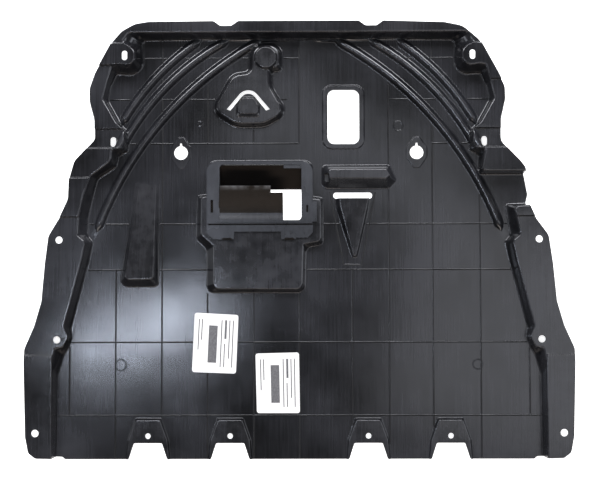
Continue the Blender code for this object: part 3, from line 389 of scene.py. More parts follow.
def withCrossings(loop, levels):
    points = []
    for index, here in enumerate(loop):
        after = loop[(index + 1) % len(loop)]
        points.append(here)
        hits = [v for v in levels if min(here[1], after[1]) < v < max(here[1], after[1])]
        hits.sort(reverse=bool(after[1] < here[1]))
        for level in hits:
            points.append(here + (level - here[1]) / (after[1] - here[1]) * (after - here))
    return np.array(points)


def crossingX(loop, level, side):
    found = []
    for here, after in zip(loop, np.roll(loop, -1, axis=0)):
        if min(here[1], after[1]) <= level < max(here[1], after[1]):
            found.append(here[0] + (level - here[1]) / (after[1] - here[1]) * (after[0] - here[0]))
    return side * max(x * side for x in found if x * side > 0)


def inChunks(work, points, loop, kind, size=4000):
    # the tests of places against lines are made a few thousand points at a time
    result = np.zeros(len(points), kind)
    for start in range(0, len(points), size):
        result[start:start + size] = work(points[start:start + size], loop)
    return result


def insideChunk(points, loop):
    x = points[:, 0:1]
    y = points[:, 1:2]
    after = np.roll(loop, -1, axis=0)
    straddles = (loop[:, 1] > y) != (after[:, 1] > y)
    rise = np.where(after[:, 1] == loop[:, 1], 1.0, after[:, 1] - loop[:, 1])
    cross = loop[:, 0] + (y - loop[:, 1]) * (after[:, 0] - loop[:, 0]) / rise
    return (np.sum(straddles & (x < cross), axis=1) % 2) == 1


def distanceChunk(points, loop):
    after = np.roll(loop, -1, axis=0)
    edge = after - loop
    size = np.maximum(np.sum(edge * edge, axis=1), 1e-12)
    offset = points[:, None, :] - loop[None, :, :]
    share = np.clip(np.sum(offset * edge, axis=2) / size, 0.0, 1.0)
    gap = offset - share[:, :, None] * edge
    return np.sqrt(np.min(np.sum(gap * gap, axis=2), axis=1))


def insideLoop(points, loop):
    return inChunks(insideChunk, points, loop, bool)


def distanceToLoop(points, loop):
    return inChunks(distanceChunk, points, loop, float)


def wallProfile(across, run, rise, radius):
    # height on a wall that leans over the given run: a fillet at the foot, a flat flank, a fillet at the head
    size = np.maximum(np.abs(rise), 1e-6)
    most = tray["filletLimit"] * (run * run + size * size) / (4 * size)
    bend = np.minimum(np.minimum(radius, tray["filletShare"] * run), most)
    spare = size - 2 * bend
    steep = np.arctan2(spare, run) + np.arcsin(np.clip(2 * bend / np.hypot(run, spare), 0, 1))
    reach = bend * np.sin(steep)
    foot = bend - np.sqrt(np.maximum(bend * bend - across * across, 0))
    head = size - bend + np.sqrt(np.maximum(bend * bend - (run - across) ** 2, 0))
    flank = bend * (1 - np.cos(steep)) + (across - reach) * np.tan(np.minimum(steep, 1.55))
    height = np.where(across < reach, foot, np.where(across > run - reach, head, np.clip(flank, 0, size)))
    return np.sign(rise) * height


class Form:
    # a raised area: a wall that leans from its foot outline to its top outline
    def __init__(self, foot, top, height, outward=False, radius=3.0, guard=0.07):
        counts = arcCounts(foot)
        self.foot = roundedLoop(foot, counts)
        self.top = roundedLoop(top, counts)
        self.height = height if callable(height) else (lambda x, y: np.full(len(x), float(height)))
        self.outward = outward
        self.radius = radius
        inner = tray["wallLines"]
        self.spans = [-guard, *inner, *(1 - t for t in reversed(inner)), 1 + guard]

    def rings(self):
        return [self.foot + (self.top - self.foot) * t for t in self.spans]

    def lift(self, points, heights, edges):
        near = np.ones(len(points), bool)
        if not self.outward:
            near = np.all((points >= self.foot.min(axis=0)) & (points <= self.foot.max(axis=0)), axis=1)
        spot = points[near]
        onFoot = insideLoop(spot, self.foot) != self.outward
        onTop = insideLoop(spot, self.top) != self.outward
        wall = onFoot & ~onTop
        nearFoot = distanceToLoop(spot[wall], self.foot)
        nearTop = distanceToLoop(spot[wall], self.top)
        wanted = self.height(spot[:, 0], spot[:, 1])
        rise = wanted - heights[near]
        raised = np.where(onTop, rise, 0.0)
        run = np.maximum(nearFoot + nearTop, 1e-6)
        raised[wall] = wallProfile(nearFoot, run, rise[wall], self.radius)
        heights[near] += raised
        if edges is not None:
            # the top of a pod and the head of its wall get a painted highlight
            head = np.where(onTop & (not self.outward), tray["highlightTop"], 0.0)
            head[wall] = np.clip(1 - nearTop / tray["highlightHead"], tray["highlightWall"], 1)
            edges[near] = np.maximum(edges[near], head)


def arcThrough(first, middle, last, steps):
    a, b, c = (Vector(p) for p in (first, middle, last))
    ab = b - a
    ac = c - a
    cross = 2 * (ab.x * ac.y - ab.y * ac.x)
    centre = a + Vector((
        (ac.y * ab.length_squared - ab.y * ac.length_squared) / cross,
        (ab.x * ac.length_squared - ac.x * ab.length_squared) / cross,
    ))
    radius = (a - centre).length
    start = math.atan2(a.y - centre.y, a.x - centre.x)
    swept = (c - centre).angle_signed(a - centre)
    turns = start + swept * np.arange(steps + 1) / steps
    outward = np.column_stack((np.cos(turns), np.sin(turns)))
    return np.array(centre) + radius * outward, outward, radius * abs(swept)


beads = {
    "width": 18.5, "height": 6.5, "taper": 16.0, "steps": 72, "crestRadius": 6.8, "footRadius": 3.0,
    "paintedLight": 0.5, "highlightShare": 0.35,
    "arcs": [
        ((160, rear - 23), (246, 260.5), (295.5, 190)),
        ((113, rear - 23), (220.5, 255), (302, 136.5)),
        ((57, rear - 23), (220.5, 206.5), (334.5, 13)),
    ],
    "lines": (-1.08, -1.0, -0.93, -0.86, -0.79, -0.73, -0.69, -0.6, -0.45, -0.22),
}


def beadProfile(bow):
    # height over the bead's own height, for 0 at the crest to 1 at the foot
    reach = beads["width"] / 2
    across = bow * reach
    top = beads["crestRadius"]
    bottom = beads["footRadius"]
    crest = beads["height"] - top + np.sqrt(np.maximum(top ** 2 - across ** 2, 0))
    foot = bottom - np.sqrt(np.maximum(bottom ** 2 - (reach - across) ** 2, 0))
    return np.where(across < reach * top / (top + bottom), crest, foot) / beads["height"]


class Bead:
    # a bead along an arc, round on top and filleted at its feet, fading out at both ends
    def __init__(self, arc, side):
        first, middle, last = [(side * p[0], p[1]) for p in arc]
        self.points, self.outward, self.length = arcThrough(first, middle, last, beads["steps"])
        along = np.linspace(0.0, self.length, beads["steps"] + 1)
        share = np.clip(np.minimum(along, self.length - along) / beads["taper"], 0.0, 1.0)
        self.fade = np.sin(share * math.pi / 2)

    def line(self, share):
        return self.points + self.outward * (beads["width"] / 2 * share * self.fade)[:, None]

    def lift(self, points, heights, edges):
        low = self.points.min(axis=0) - beads["width"]
        high = self.points.max(axis=0) + beads["width"]
        near = np.all((points >= low) & (points <= high), axis=1)
        spot = points[near]
        start = self.points[:-1]
        edge = self.points[1:] - start
        offset = spot[:, None, :] - start[None, :, :]
        share = np.clip(np.sum(offset * edge, axis=2) / np.sum(edge * edge, axis=1), 0.0, 1.0)
        gaps = np.linalg.norm(offset - share[:, :, None] * edge, axis=2)
        best = np.argmin(gaps, axis=1)
        rows = np.arange(len(spot))
        fade = self.fade[best] + share[rows, best] * (self.fade[best + 1] - self.fade[best])
        reach = np.maximum(beads["width"] / 2 * fade, 1e-6)
        bow = np.clip(gaps[rows, best] / reach, 0.0, 1.0)
        heights[near] += beads["height"] * fade * beadProfile(bow)
        # the crest of a bead gets a painted highlight
        if edges is not None:
            highlit = beads["paintedLight"] * np.clip(1 - bow / beads["highlightShare"], 0, 1)
            edges[near] = np.maximum(edges[near], highlit)


ribs = {
    "width": 2.2, "height": 1.5, "endSlope": 0.4, "shortest": 4.5, "frontGap": 2.0,
    "paintedLight": 0.7, "shade": 1.8, "brightFrom": -0.1, "seam": 0.1, "crestLines": (-0.3, -0.08), "skirt": 0.6,
    "along": [
        (-377.5, [(-168, -287)]), (-302, [(-48, front)]), (-226, [(rear, front)]),
        (-151, [(258, 160), (-88, front)]),
        (-75, [(183, 160), (-88, front)]), (0, [(rear, 160), (-83, front)]), (87, [(-48, front)]),
        (148, [(258, 125), (84, front)]), (220, [(rear, 292), (190, front)]), (298, [(132, front)]),
        (377.5, [(-168, -287)]),
    ],
    "across": [
        (303, [(-300, 0), (150, 300)]), (234, [(-320, -20), (150, 320)]), (160.5, [(-300, 0), (220, 300)]),
        (27, [(-350, -150), (34, 350)]), (-48.5, [(-360, -150), (5, 360)]), (-167.5, [(-400, 400)]),
        (-287, [(-400, 400)]),
    ],
}


class Ridge:
    # a thin straight rib on the floor
    def __init__(self, start, end, width, height):
        self.start = np.array(start, float)
        self.end = np.array(end, float)
        self.length = np.linalg.norm(self.end - self.start)
        self.heading = (self.end - self.start) / self.length
        self.side = np.array((-self.heading[1], self.heading[0]))
        self.width = width
        self.height = height

    def loop(self, grown):
        reach = self.side * (self.width / 2 + grown)
        a = self.start - self.heading * grown
        b = self.end + self.heading * grown
        return np.array([a - reach, b - reach, b + reach, a + reach])

    def lift(self, points, heights, edges):
        offset = points - self.start
        along = offset @ self.heading
        across = np.abs(offset @ self.side)
        near = (across < self.width / 2) & (along > 0) & (along < self.length)
        bow = np.clip(across[near] / (self.width / 2), 0, 1)
        end = np.clip(np.minimum(along[near], self.length - along[near]) / ribs["endSlope"], 0, 1)
        rise = self.height * np.minimum(np.sqrt(1 - bow ** 3), end)
        heights[near] = np.maximum(heights[near], sheet + rise)
        if edges is not None:
            # one side of a rib gets a painted highlight and the other a painted shade, where the mask goes
            # below zero
            signed = (offset @ self.side) * np.sign(self.side[1] + 0.001)
            seam = ribs["seam"]
            close = (across < self.width / 2 + seam) & (along > -seam) & (along < self.length + seam)
            bright = close & (signed > ribs["brightFrom"] * self.width)
            highlit = ribs["paintedLight"] * (1 - np.clip(2 * across[bright] / self.width, 0, 1) ** 4)
            edges[bright] = np.maximum(edges[bright], highlit)
            edges[close & ~bright] = -ribs["shade"]


def clippedRuns(axis, place, start, end, keepIn, keepOut):
    # the stretches of a rib's line that lie on the open floor
    stops = {start, end}
    for loop in [keepIn] + keepOut:
        for here, after in zip(loop, np.roll(loop, -1, axis=0)):
            low, high = sorted((here[axis], after[axis]))
            if low <= place < high:
                share = (place - here[axis]) / (after[axis] - here[axis])
                stops.add(float(here[1 - axis] + share * (after[1 - axis] - here[1 - axis])))
    low, high = min(start, end), max(start, end)
    stops = sorted(stop for stop in stops if low <= stop <= high)
    runs = []
    for a, b in zip(stops, stops[1:]):
        middle = np.array([[place, (a + b) / 2] if axis == 0 else [(a + b) / 2, place]])
        clear = insideChunk(middle, keepIn)[0] and not any(insideChunk(middle, loop)[0] for loop in keepOut)
        if clear and runs and runs[-1][1] == a:
            runs[-1] = (runs[-1][0], b)
        elif clear:
            runs.append((a, b))
    return [run for run in runs if run[1] - run[0] > ribs["shortest"]]


def gridRidges(forms, cuts, beadList):
    floor = forms[0].foot
    blocked = [form.foot for form in forms[1:]] + cuts
    blocked += [np.vstack((bead.line(-1.0), bead.line(1.0)[-2:0:-1])) for bead in beadList]
    made = []
    for axis, rows in ((0, ribs["along"]), (1, ribs["across"])):
        for place, stretches in rows:
            for start, end in stretches:
                for low, high in clippedRuns(axis, place, start, end, floor, blocked):
                    if axis == 0:
                        ends = (place, max(low, front + ribs["frontGap"])), (place, high)
                    else:
                        ends = (low, place), (high, place)
                    made.append(Ridge(*ends, ribs["width"], ribs["height"]))
    return made


def steppedHeight(y, steps):
    level = np.full(len(y), tray[steps[0][1]])
    for place, before, after in steps:
        share = np.clip((place + tray["stepRun"] / 2 - y) / tray["stepRun"], 0.0, 1.0)
        level += (tray[after] - tray[before]) * share * share * (3 - 2 * share)
    return level


def flangeHeight(x, y):
    return np.where(x > 0, steppedHeight(y, openSteps), steppedHeight(y, closedSteps))


def rimForm():
    loops = []
    for pick in (3, 0):
        right = [(half - s[pick], s[pick + 1], s[pick + 2]) for s in rearRim + openRim + frontRim]
        left = [(half - s[pick], s[pick + 1], s[pick + 2]) for s in rearRim + closedRim + frontRim]
        loops.append(mirrorCorners(left)[::-1] + right[::-1])
    return Form(loops[0], loops[1], flangeHeight, outward=True, radius=tray["wallRadius"])


def octagon(x, y, reach, radius):
    turns = [math.pi / 8 + k * math.pi / 4 for k in range(8)]
    return [(x + reach * math.cos(a), y + reach * math.sin(a), radius) for a in turns]


def wedgeHeight(x, y):
    # the wedge climbs from the floor at its rear end to its full rise at its front end
    top = pods["wedge"]["top"]
    share = np.clip((top[0][1] - y) / (top[0][1] - top[2][1]), 0.0, 1.0)
    return sheet + pods["wedge"]["rise"] * share


# the pods, each above the ones before it; a form without a top takes its foot, moved in by its inset
pods = {
    "platform": {
        "height": 20.0,
        "foot": [
            (24, 133, 15), (-151.5, 133, 15), (-151.5, 77, 2), (-169, 75, 4), (-171, 2, 14), (-153, -14, 12),
            (-153, -88, 14), (11, -88, 14), (13, -13, 10), (41, -9, 10), (41, 71, 6), (24, 73, 2),
        ],
        "top": [
            (19, 128, 12), (-146.5, 128, 12), (-146.5, 70, 2), (-158.5, 68, 3), (-158.5, 8, 8), (-138, -10, 6),
            (-138, -79, 8), (3.5, -79, 8), (5.5, -6, 6), (34.7, -1, 6), (34.7, 64, 4), (19, 66, 2),
        ],
    },
    "heart": {
        "height": 16.0, "radius": 4.6, "inset": 10.0,
        "foot": [
            (-24.5, 329, 27), (-83.5, 329, 27), (-83.5, 282, 8), (-112, 279, 30), (-150, 213, 22),
            (-106, 185, 45), (-56, 185, 45), (-13, 208, 24), (-42, 256, 24), (-42, 277, 4), (-25, 280, 16),
        ],
    },
    "roundPod": {
        "height": 22.0, "radius": 2.0, "foot": octagon(-54, 301, 22, 16), "top": octagon(-54, 301, 17, 12),
    },
    "plug": {
        "height": 21.0, "radius": 1.8,
        "foot": [
            (-63, 220, 3), (-71, 237, 4), (-95, 237, 4), (-103, 220, 3), (-103, 201.5, 4), (-63, 201.5, 4),
        ],
        "top": [
            (-67, 221, 3), (-75, 232.5, 4), (-91.5, 232.5, 4), (-99, 221, 3), (-97, 208.5, 4), (-68, 208.5, 4),
        ],
    },
    "wedge": {
        "height": wedgeHeight, "rise": 15.0,
        "foot": [(-230, 96, 3), (-270, 96, 3), (-297, -78, 14), (-230, -78, 10)],
        "top": [(-237, 92, 2), (-263, 92, 2), (-284, -63, 5), (-240, -63, 5)],
    },
    "sausage": {
        "height": 20.0,
        "foot": [(150, 125, 6), (37, 125, 9), (37, 84, 12), (150, 84, 8), (163, 98, 5)],
        "top": [(143, 114, 3), (50, 114, 4), (50, 102, 4), (143, 102, 3), (148, 106, 3)],
    },
    "pocket": {
        "height": sheet + 1.0, "radius": 0.8, "inset": 2.0,
        "foot": [(51, 111, 3), (41, 109, 3), (41, 96, 3), (51, 94, 3)],
    },
}


def makeForm(look, foot=None, **guard):
    foot = foot or look["foot"]
    top = look.get("top") or insetCorners(foot, look["inset"])
    return Form(foot, top, look["height"], radius=look.get("radius", 3.0), **guard)


# the scoop: its outlines start from the middle of its mouth
scoop = {
    "place": (89.0, 68.5), "length": 96.0, "rise": 12.0, "tipDrop": 0.6, "slot": (64.0, 10.0, 5.0),
    "foot": [(31, 5, 1), (-31, 5, 1), (-29, -14.5, 12), (-2, -99, 6), (8, -99, 6), (27, -18.5, 12)],
    "top": [(25, 5, 1), (-21, 5, 1), (-19, -14.5, 10), (1, -93, 3), (5, -93, 3), (21, -18.5, 10)],
}


def scoopHeight(x, y):
    share = np.clip((scoop["place"][1] - y) / scoop["length"], 0.0, 1.0)
    return sheet + (scoop["rise"] - sheet) * (1 - scoop["tipDrop"] * share)


# the screw tabs: a notch in the front edge and a raised pad around it, each given as its right half
tabs = {
    "places": (-247.5, -113.0, 113.0, 247.5), "depth": 26.5, "notch": [(31.5, 0.0, 4), (23.0, 26.5, 3)],
    "height": 8.0, "radius": 1.8, "hole": 9.0, "holeSetback": 38.0,
    "foot": [(22, 41, 4), (34.5, 5, 5), (38.5, -38.5, 1)], "top": [(19, 36, 3), (30.5, 4, 5), (34.5, -38.5, 1)],
}


def tabForm(x):
    loops = []
    for outline in (tabs["foot"], tabs["top"]):
        right = shifted(outline, x, front + tabs["depth"])
        left = shifted([(-c[0], c[1], c[2]) for c in outline], x, front + tabs["depth"])
        loops.append(right[:1] + left + right[:0:-1])
    return Form(loops[0], loops[1], tabs["height"], radius=tabs["radius"])


def outerEdge():
    right = [(half - inset, y, radius) for inset, y, radius in openEdge + frontEdge]
    left = [(half - inset, y, radius) for inset, y, radius in closedEdge + frontEdge]
    frontLine = []
    for x in tabs["places"]:
        frontLine += shifted([(-c[0], c[1], c[2]) for c in tabs["notch"]], x, front)
        frontLine += shifted(tabs["notch"][::-1], x, front)
    leftSide = mirrorCorners(rearNotch) + mirrorCorners(left)[::-1]
    return roundedLoop(leftSide + frontLine + right[::-1] + rearNotch)


# the openings: a box is (x, y, width, length, radius), and a hole is (x, y, diameter)
openings = {
    "duct": (-62.5, 77.0, 139.0, 96.0, 8.5), "window": (74.0, 204.0, 52.5, 90.0, 11.0),
    "windowLip": {
        "height": sheet + 2.0, "radius": 1.2, "inset": 3.0, "foot": boxCorners(74.0, 204.0, 71.5, 109.0, 17.0),
    },
    "sideSlot": (9.0, 15.5, 4.5), "sideSlots": [(half - 162, rear - 57.5), (half - 143, 160.0)],
    "rimHoles": [(half - 55.5, -0.5, 11.5), (half - 53, -162.5, 11.5), (half - 19.5, front + 45.5, 12.0)],
    "chevronOuter": [(-118.5, 215.5, 0), (-83, 257.5, 19), (-47.5, 215.5, 0)],
    "chevronInner": [(-53.5, 213.5, 0), (-83, 249.5, 14), (-112.5, 213.5, 0)],
    "keyPlaces": (-195.0, 195.0),
    "keyY": 145.0, "keyRadius": 11.25, "keyTurn": (100, 440), "keyTip": (1.6, 160.75),
    "keyDrop": {
        "height": sheet + 1.2, "radius": 0.9, "inset": 1.8,
        "foot": [
            (5, 171.5, 3), (-5, 171.5, 3), (-18, 153, 8), (-18, 137, 8),
            (-5, 118.5, 3), (5, 118.5, 3), (18, 137, 8), (18, 153, 8),
        ],
    },
    "lipGuard": 0.2,
}


def lowForms():
    x, y = scoop["place"]
    guard = openings["lipGuard"]
    made = [Form(shifted(scoop["foot"], x, y), shifted(scoop["top"], x, y), scoopHeight)]
    made.append(makeForm(openings["windowLip"], guard=guard))
    for place in openings["keyPlaces"]:
        drop = openings["keyDrop"]
        made.append(makeForm(drop, shifted(drop["foot"], place, 0.0), guard=guard))
    return made + [tabForm(place) for place in tabs["places"]]


def openingLoops():
    steps = tray["roundSteps"]
    cuts = [roundedLoop(openings["chevronOuter"][::-1] + openings["chevronInner"][::-1])]
    cuts.append(roundedLoop(boxCorners(*openings["duct"])))
    radius = openings["keyRadius"]
    wide, tip = openings["keyTip"]
    for x in openings["keyPlaces"]:
        turns = np.linspace(*(math.radians(turn) for turn in openings["keyTurn"]), steps)
        ring = [(x + radius * math.cos(a), openings["keyY"] + radius * math.sin(a)) for a in turns]
        cuts.append(np.array(ring + [(x + wide, tip), (x - wide, tip)]))
    cuts.append(roundedLoop(boxCorners(*openings["window"])))
    x, y = scoop["place"]
    cuts.append(roundedLoop(boxCorners(x, y + scoop["slot"][1] / 2, *scoop["slot"])))
    for side in (-1, 1):
        for x, y in openings["sideSlots"]:
            cuts.append(roundedLoop(boxCorners(side * x, y, *openings["sideSlot"])))
        for x, y, diameter in openings["rimHoles"]:
            cuts.append(circleLoop(side * x, y, diameter, steps))
    for x in tabs["places"]:
        cuts.append(circleLoop(x, front + tabs["holeSetback"], tabs["hole"], steps))
    return cuts


# marks of the mould: faint rings as (x, y, radius), and the thin border around the scoop
marks = {
    "rings": [
        (-292.9, -204.9, 9.0), (293.2, -204.4, 8.0), (164.6, 188.7, 8.0),
        (-163.7, 193.2, 4.0), (3.1, -148.1, 1.6),
    ],
    "ringRise": 0.35, "ringWidth": 1.6,
    "ringLines": (-0.9, -0.5, 0.0, 0.5, 0.9), "ringSteps": 28, "ringLeast": 0.4,
    "border": [(51.6, 79.4), (74.2, -40.6), (102.2, -40.7), (125.9, 79.1)],
    "borderWidth": 2.2, "borderRise": 0.5,
}


class RingMark:
    def __init__(self, x, y, radius):
        self.centre = np.array((x, y))
        self.radius = radius

    def loops(self):
        reach = [self.radius + marks["ringWidth"] * k for k in marks["ringLines"]]
        return [circleLoop(*self.centre, 2 * r, marks["ringSteps"]) for r in reach if r > marks["ringLeast"]]

    def lift(self, points, heights, edges):
        away = np.abs(np.linalg.norm(points - self.centre, axis=1) - self.radius)
        heights += marks["ringRise"] * np.clip(1 - away / (marks["ringWidth"] / 2), 0, 1)


class FlatMap:
    # the lines of the tray, seen from straight above
    def __init__(self):
        self.points = []
        self.edges = []

    def line(self, points, closed=False):
        start = len(self.points)
        total = len(points)
        self.points += [Vector(p) for p in points]
        self.edges += [(start + i, start + i + 1) for i in range(total - 1)]
        if closed:
            self.edges.append((start + total - 1, start))


def stepLevels():
    run = tray["stepRun"]
    places = {s[0] for s in closedSteps + openSteps}
    return sorted(p + run * (k / 6 - 0.5) for p in places for k in range(7))


def drawMap(forms, beadList, ridges, ringMarks, cuts, edge):
    plan = FlatMap()
    levels = stepLevels()
    border = withCrossings(edge, levels)
    plan.line(border, closed=True)
    for form in forms:
        rings = form.rings()
        if form.outward:
            rings[-2] = withCrossings(rings[-2], levels)
            for level in levels:
                for side in (-1, 1):
                    outer = crossingX(border, level, side)
                    inner = crossingX(rings[-2], level, side)
                    if abs(outer) > abs(inner):
                        plan.line([(inner, level), (outer, level)])
        for ring in rings:
            plan.line(ring, closed=True)
    rounding = tray["edgeRound"]
    for cut in cuts:
        plan.line(cut, closed=True)
    for loop, way in [(edge, 1)] + [(cut, -1) for cut in cuts]:
        for share in tray["edgeLines"]:
            plan.line(offsetLoop(loop, way * rounding * share), closed=True)
    for bead in beadList:
        for share in beads["lines"]:
            plan.line(bead.line(share)[1:-1])
            plan.line(bead.line(-share)[1:-1])
        plan.line(bead.points)
    for ridge in ridges:
        for grown in [ridge.width * k for k in ribs["crestLines"]] + [0.0, ribs["skirt"]]:
            plan.line(ridge.loop(grown), closed=True)
    for mark in ringMarks:
        for loop in mark.loops():
            plan.line(loop, closed=True)
    return plan


def surfaceHeight(points, features, edges=None):
    heights = np.full(len(points), sheet)
    for feature in features:
        feature.lift(points, heights, edges)
    return heights


def undersideHeight(points, features):
    # a ball as thick as the sheet is rolled below the upper side
    lowest = surfaceHeight(points, features) - sheet
    for tilt in tray["ballTilts"]:
        reach = sheet * math.sin(math.radians(tilt))
        depth = sheet * math.cos(math.radians(tilt))
        for turn in range(tray["ballTurns"]):
            angle = turn * 2 * math.pi / tray["ballTurns"]
            moved = points + reach * np.array((math.cos(angle), math.sin(angle)))
            lowest = np.minimum(lowest, surfaceHeight(moved, features) - depth)
    return np.maximum(lowest, 0.0)


def addObject(name, mesh, finish):
    data = bpy.data.meshes.new(name)
    mesh.to_mesh(data)
    mesh.free()
    made = bpy.data.objects.new(name, data)
    bpy.context.scene.collection.objects.link(made)
    data.materials.append(finish)
    return made


def shadeSmooth(made, angle):
    made.data.shade_smooth()
    made.data.set_sharp_from_angle(angle=math.radians(angle))


def leadFlatFaces(made):
    step = made.modifiers.new("flatFacesLead", "WEIGHTED_NORMAL")
    step.keep_sharp = True


def onlyVerts(found):
    return [item for item in found["geom"] if isinstance(item, bmesh.types.BMVert)]


def raisePanel(points, faces, upper, lower, paintedLight):
    # the map becomes the upper side, and its copy below it the underside
    mesh = bmesh.new()
    index = mesh.verts.layers.int.new("mapIndex")
    made = {}
    for i in np.unique(faces):
        made[i] = mesh.verts.new(Vector((*points[i], upper[i])) * mm)
        made[i][index] = int(i)
    for a, b, c in faces:
        mesh.faces.new((made[a], made[b], made[c]))
    for vert in onlyVerts(bmesh.ops.extrude_face_region(mesh, geom=mesh.faces[:])):
        vert.co.z = lower[vert[index]] * mm
    bmesh.ops.recalc_face_normals(mesh, faces=mesh.faces[:])
    mask = mesh.verts.layers.float.new("paintedLightMask")
    for vert in mesh.verts:
        vert[mask] = float(paintedLight[vert[index]])
    mesh.verts.layers.int.remove(index)
    return mesh


def makeShieldPanel():
    forms = [rimForm()] + [makeForm(look) for look in pods.values()] + lowForms()
    beadList = [Bead(arc, side) for arc in beads["arcs"] for side in (-1, 1)]
    cuts = openingLoops()
    edge = outerEdge()
    ridges = gridRidges(forms, cuts, beadList)
    border = marks["border"]
    ridges += [Ridge(a, b, marks["borderWidth"], marks["borderRise"]) for a, b in zip(border, border[1:])]
    ringMarks = [RingMark(*ring) for ring in marks["rings"]]
    plan = drawMap(forms, beadList, ridges, ringMarks, cuts, edge)
    found = delaunay_2d_cdt(plan.points, plan.edges, [], 0, tray["drawnApart"])
    points = np.array([(p.x, p.y) for p in found[0]])
    faces = np.array(found[2])
    centres = points[faces].mean(axis=1)
    kept = insideLoop(centres, edge)
    for cut in cuts:
        kept &= ~insideLoop(centres, cut)
    faces = faces[kept]
    print("stage: tray map,", len(points), "points,", len(faces), "faces")
    # the mask of painted highlight, which goes below zero for painted shade
    paintedLight = np.zeros(len(points))
    upper = surfaceHeight(points, forms + beadList + ridges + ringMarks, paintedLight)
    lower = undersideHeight(points, forms + beadList)
    rounding = tray["edgeRound"]
    near = np.min([distanceToLoop(points, loop) for loop in [edge] + cuts], axis=0)
    share = np.clip(1 - near / rounding, 0.0, 1.0)
    upper -= rounding * (1 - np.sqrt(1 - share * share))
    # a painted highlight along the rounded edges of the rim and of the openings
    highlit = tray["highlightEdge"] * rounding
    paintedLight = np.where(near < highlit, 1 - near / highlit, paintedLight)
    mesh = raisePanel(points, faces, upper, lower, paintedLight)
    panel = addObject("shieldPanel", mesh, materials["trayPlastic"])
    shadeSmooth(panel, tray["smoothAngle"])
    leadFlatFaces(panel)
    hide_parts("shield_panel")
    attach(panel, "root")
    print("stage: shield panel,", len(panel.data.polygons), "faces")


makeShieldPanel()


# the duct insert: a frame with a raised lip, a collar, a curved hood and a ramp behind it
insert = {
    "centre": (-62.5, 77.0), "mouth": (134.0, 91.0), "corner": 6.0, "collarWall": 2.0, "collarDrop": 12.0,
    "seat": 20.3, "base": 3.0, "ring": 3.0, "ringInset": 1.5, "frameCorner": 18.0, "chamfer": 11.0,
    "margin": {"left": 21.5, "right": 18.5, "rear": 6.0, "front": 31.0, "step": 5.5},
    "lip": {"left": 7.0, "right": 4.0, "rear": 2.6, "front": 3.6, "height": 1.0, "corner": 9.0},
    "gap": {"shift": -5.0, "width": 78.0, "depth": 12.5},
    "snapDepth": 2.5, "snapSlots": [(-55.0, 13.0), (47.0, 13.0), (67.0, 18.0)],
    "pits": [("left", -12.5, 23.0, 4.2, 21.0), ("right", 9.4, 18.7, 3.2, 11.5)],
    "guideBar": ("right", 20.5, 14.0, 9.0, 33.0), "frameTab": (-14.0, -2.25, 30.0, 7.5),
    "groove": 2.2, "grooveWidth": 171.0,
    "blade": 2.0, "hoodRise": 20.0, "hoodReach": 54.0, "hoodOpenSide": 30.0, "hoodLean": 5.0,
    "hoodNotch": (20.0, 10.0), "hoodCurve": 1.35, "hoodSteps": 24,
    "trough": 1.2, "troughShare": 0.22, "troughSteps": 8,
    "rampLength": 38.0, "rampFoot": 3.2,
    "bevel": 0.55, "segments": 3, "bevelAngle": 32.0, "smoothAngle": 40.0,
    "shadeRise": 0.5, "edgeStrip": 1.2, "hoodShadeStart": 12.0,
}


class InsertPlaces:
    # the lines that the pieces of the insert share: the sides of its mouth, and its levels
    def __init__(self):
        self.x, self.y = insert["centre"]
        self.width, self.length = insert["mouth"]
        self.left = self.x - self.width / 2
        self.right = self.x + self.width / 2
        self.front = self.y - self.length / 2
        self.rear = self.y + self.length / 2
        self.seat = insert["seat"]
        self.deck = self.seat + insert["base"]
        self.crown = self.deck + insert["ring"]
        self.hoodRight = self.right - insert["hoodOpenSide"]
        groove = insert["groove"]
        partingY = self.front - insert["margin"]["step"] - groove / 2
        self.parting = boxCorners(self.x, partingY, insert["grooveWidth"], groove, 0)
        self.pits = [self.besideMouth(*pit) for pit in insert["pits"]]

    def besideMouth(self, side, x, y, width, length):
        edge = self.left if side == "left" else self.right
        return boxCorners(edge + x, self.front + y, width, length, 0)

    def mouth(self, grown, radius):
        return boxCorners(self.x, self.y, self.width + grown, self.length + grown, radius)

    def snapSlot(self, entry, shift, wider, length):
        edge = self.front - insert["margin"]["front"]
        return boxCorners(self.x + entry[0], edge + shift, entry[1] + wider, length, 0)


def makePrism(name, corners, low, high):
    mesh = bmesh.new()
    face = mesh.faces.new([mesh.verts.new(Vector((x, y, low)) * mm) for x, y in roundedLoop(corners)])
    moved = onlyVerts(bmesh.ops.extrude_face_region(mesh, geom=[face]))
    bmesh.ops.translate(mesh, verts=moved, vec=Vector((0, 0, high - low)) * mm)
    bmesh.ops.recalc_face_normals(mesh, faces=mesh.faces[:])
    return addObject(name, mesh, materials["insertPlastic"])


def upright(z):
    return 0.0


def makeProfile(name, profile, left, right, leanLeft=upright, leanRight=upright):
    # a closed line in the plane across the tray, drawn out sideways; each end leans in with its height
    mesh = bmesh.new()
    face = mesh.faces.new([mesh.verts.new(Vector((left + leanLeft(z), y, z)) * mm) for y, z in profile])
    for vert in onlyVerts(bmesh.ops.extrude_face_region(mesh, geom=[face])):
        vert.co.x = (right + leanRight(vert.co.z / mm)) * mm
    bmesh.ops.recalc_face_normals(mesh, faces=mesh.faces[:])
    return addObject(name, mesh, materials["insertPlastic"])


def sheetProfile(line, thickness):
    line = [Vector(p) for p in line]
    below = []
    for index, point in enumerate(line):
        heading = (line[min(index + 1, len(line) - 1)] - line[max(index - 1, 0)]).normalized()
        below.append(point + Vector((heading.y, -heading.x)) * thickness)
    return line + below[::-1]


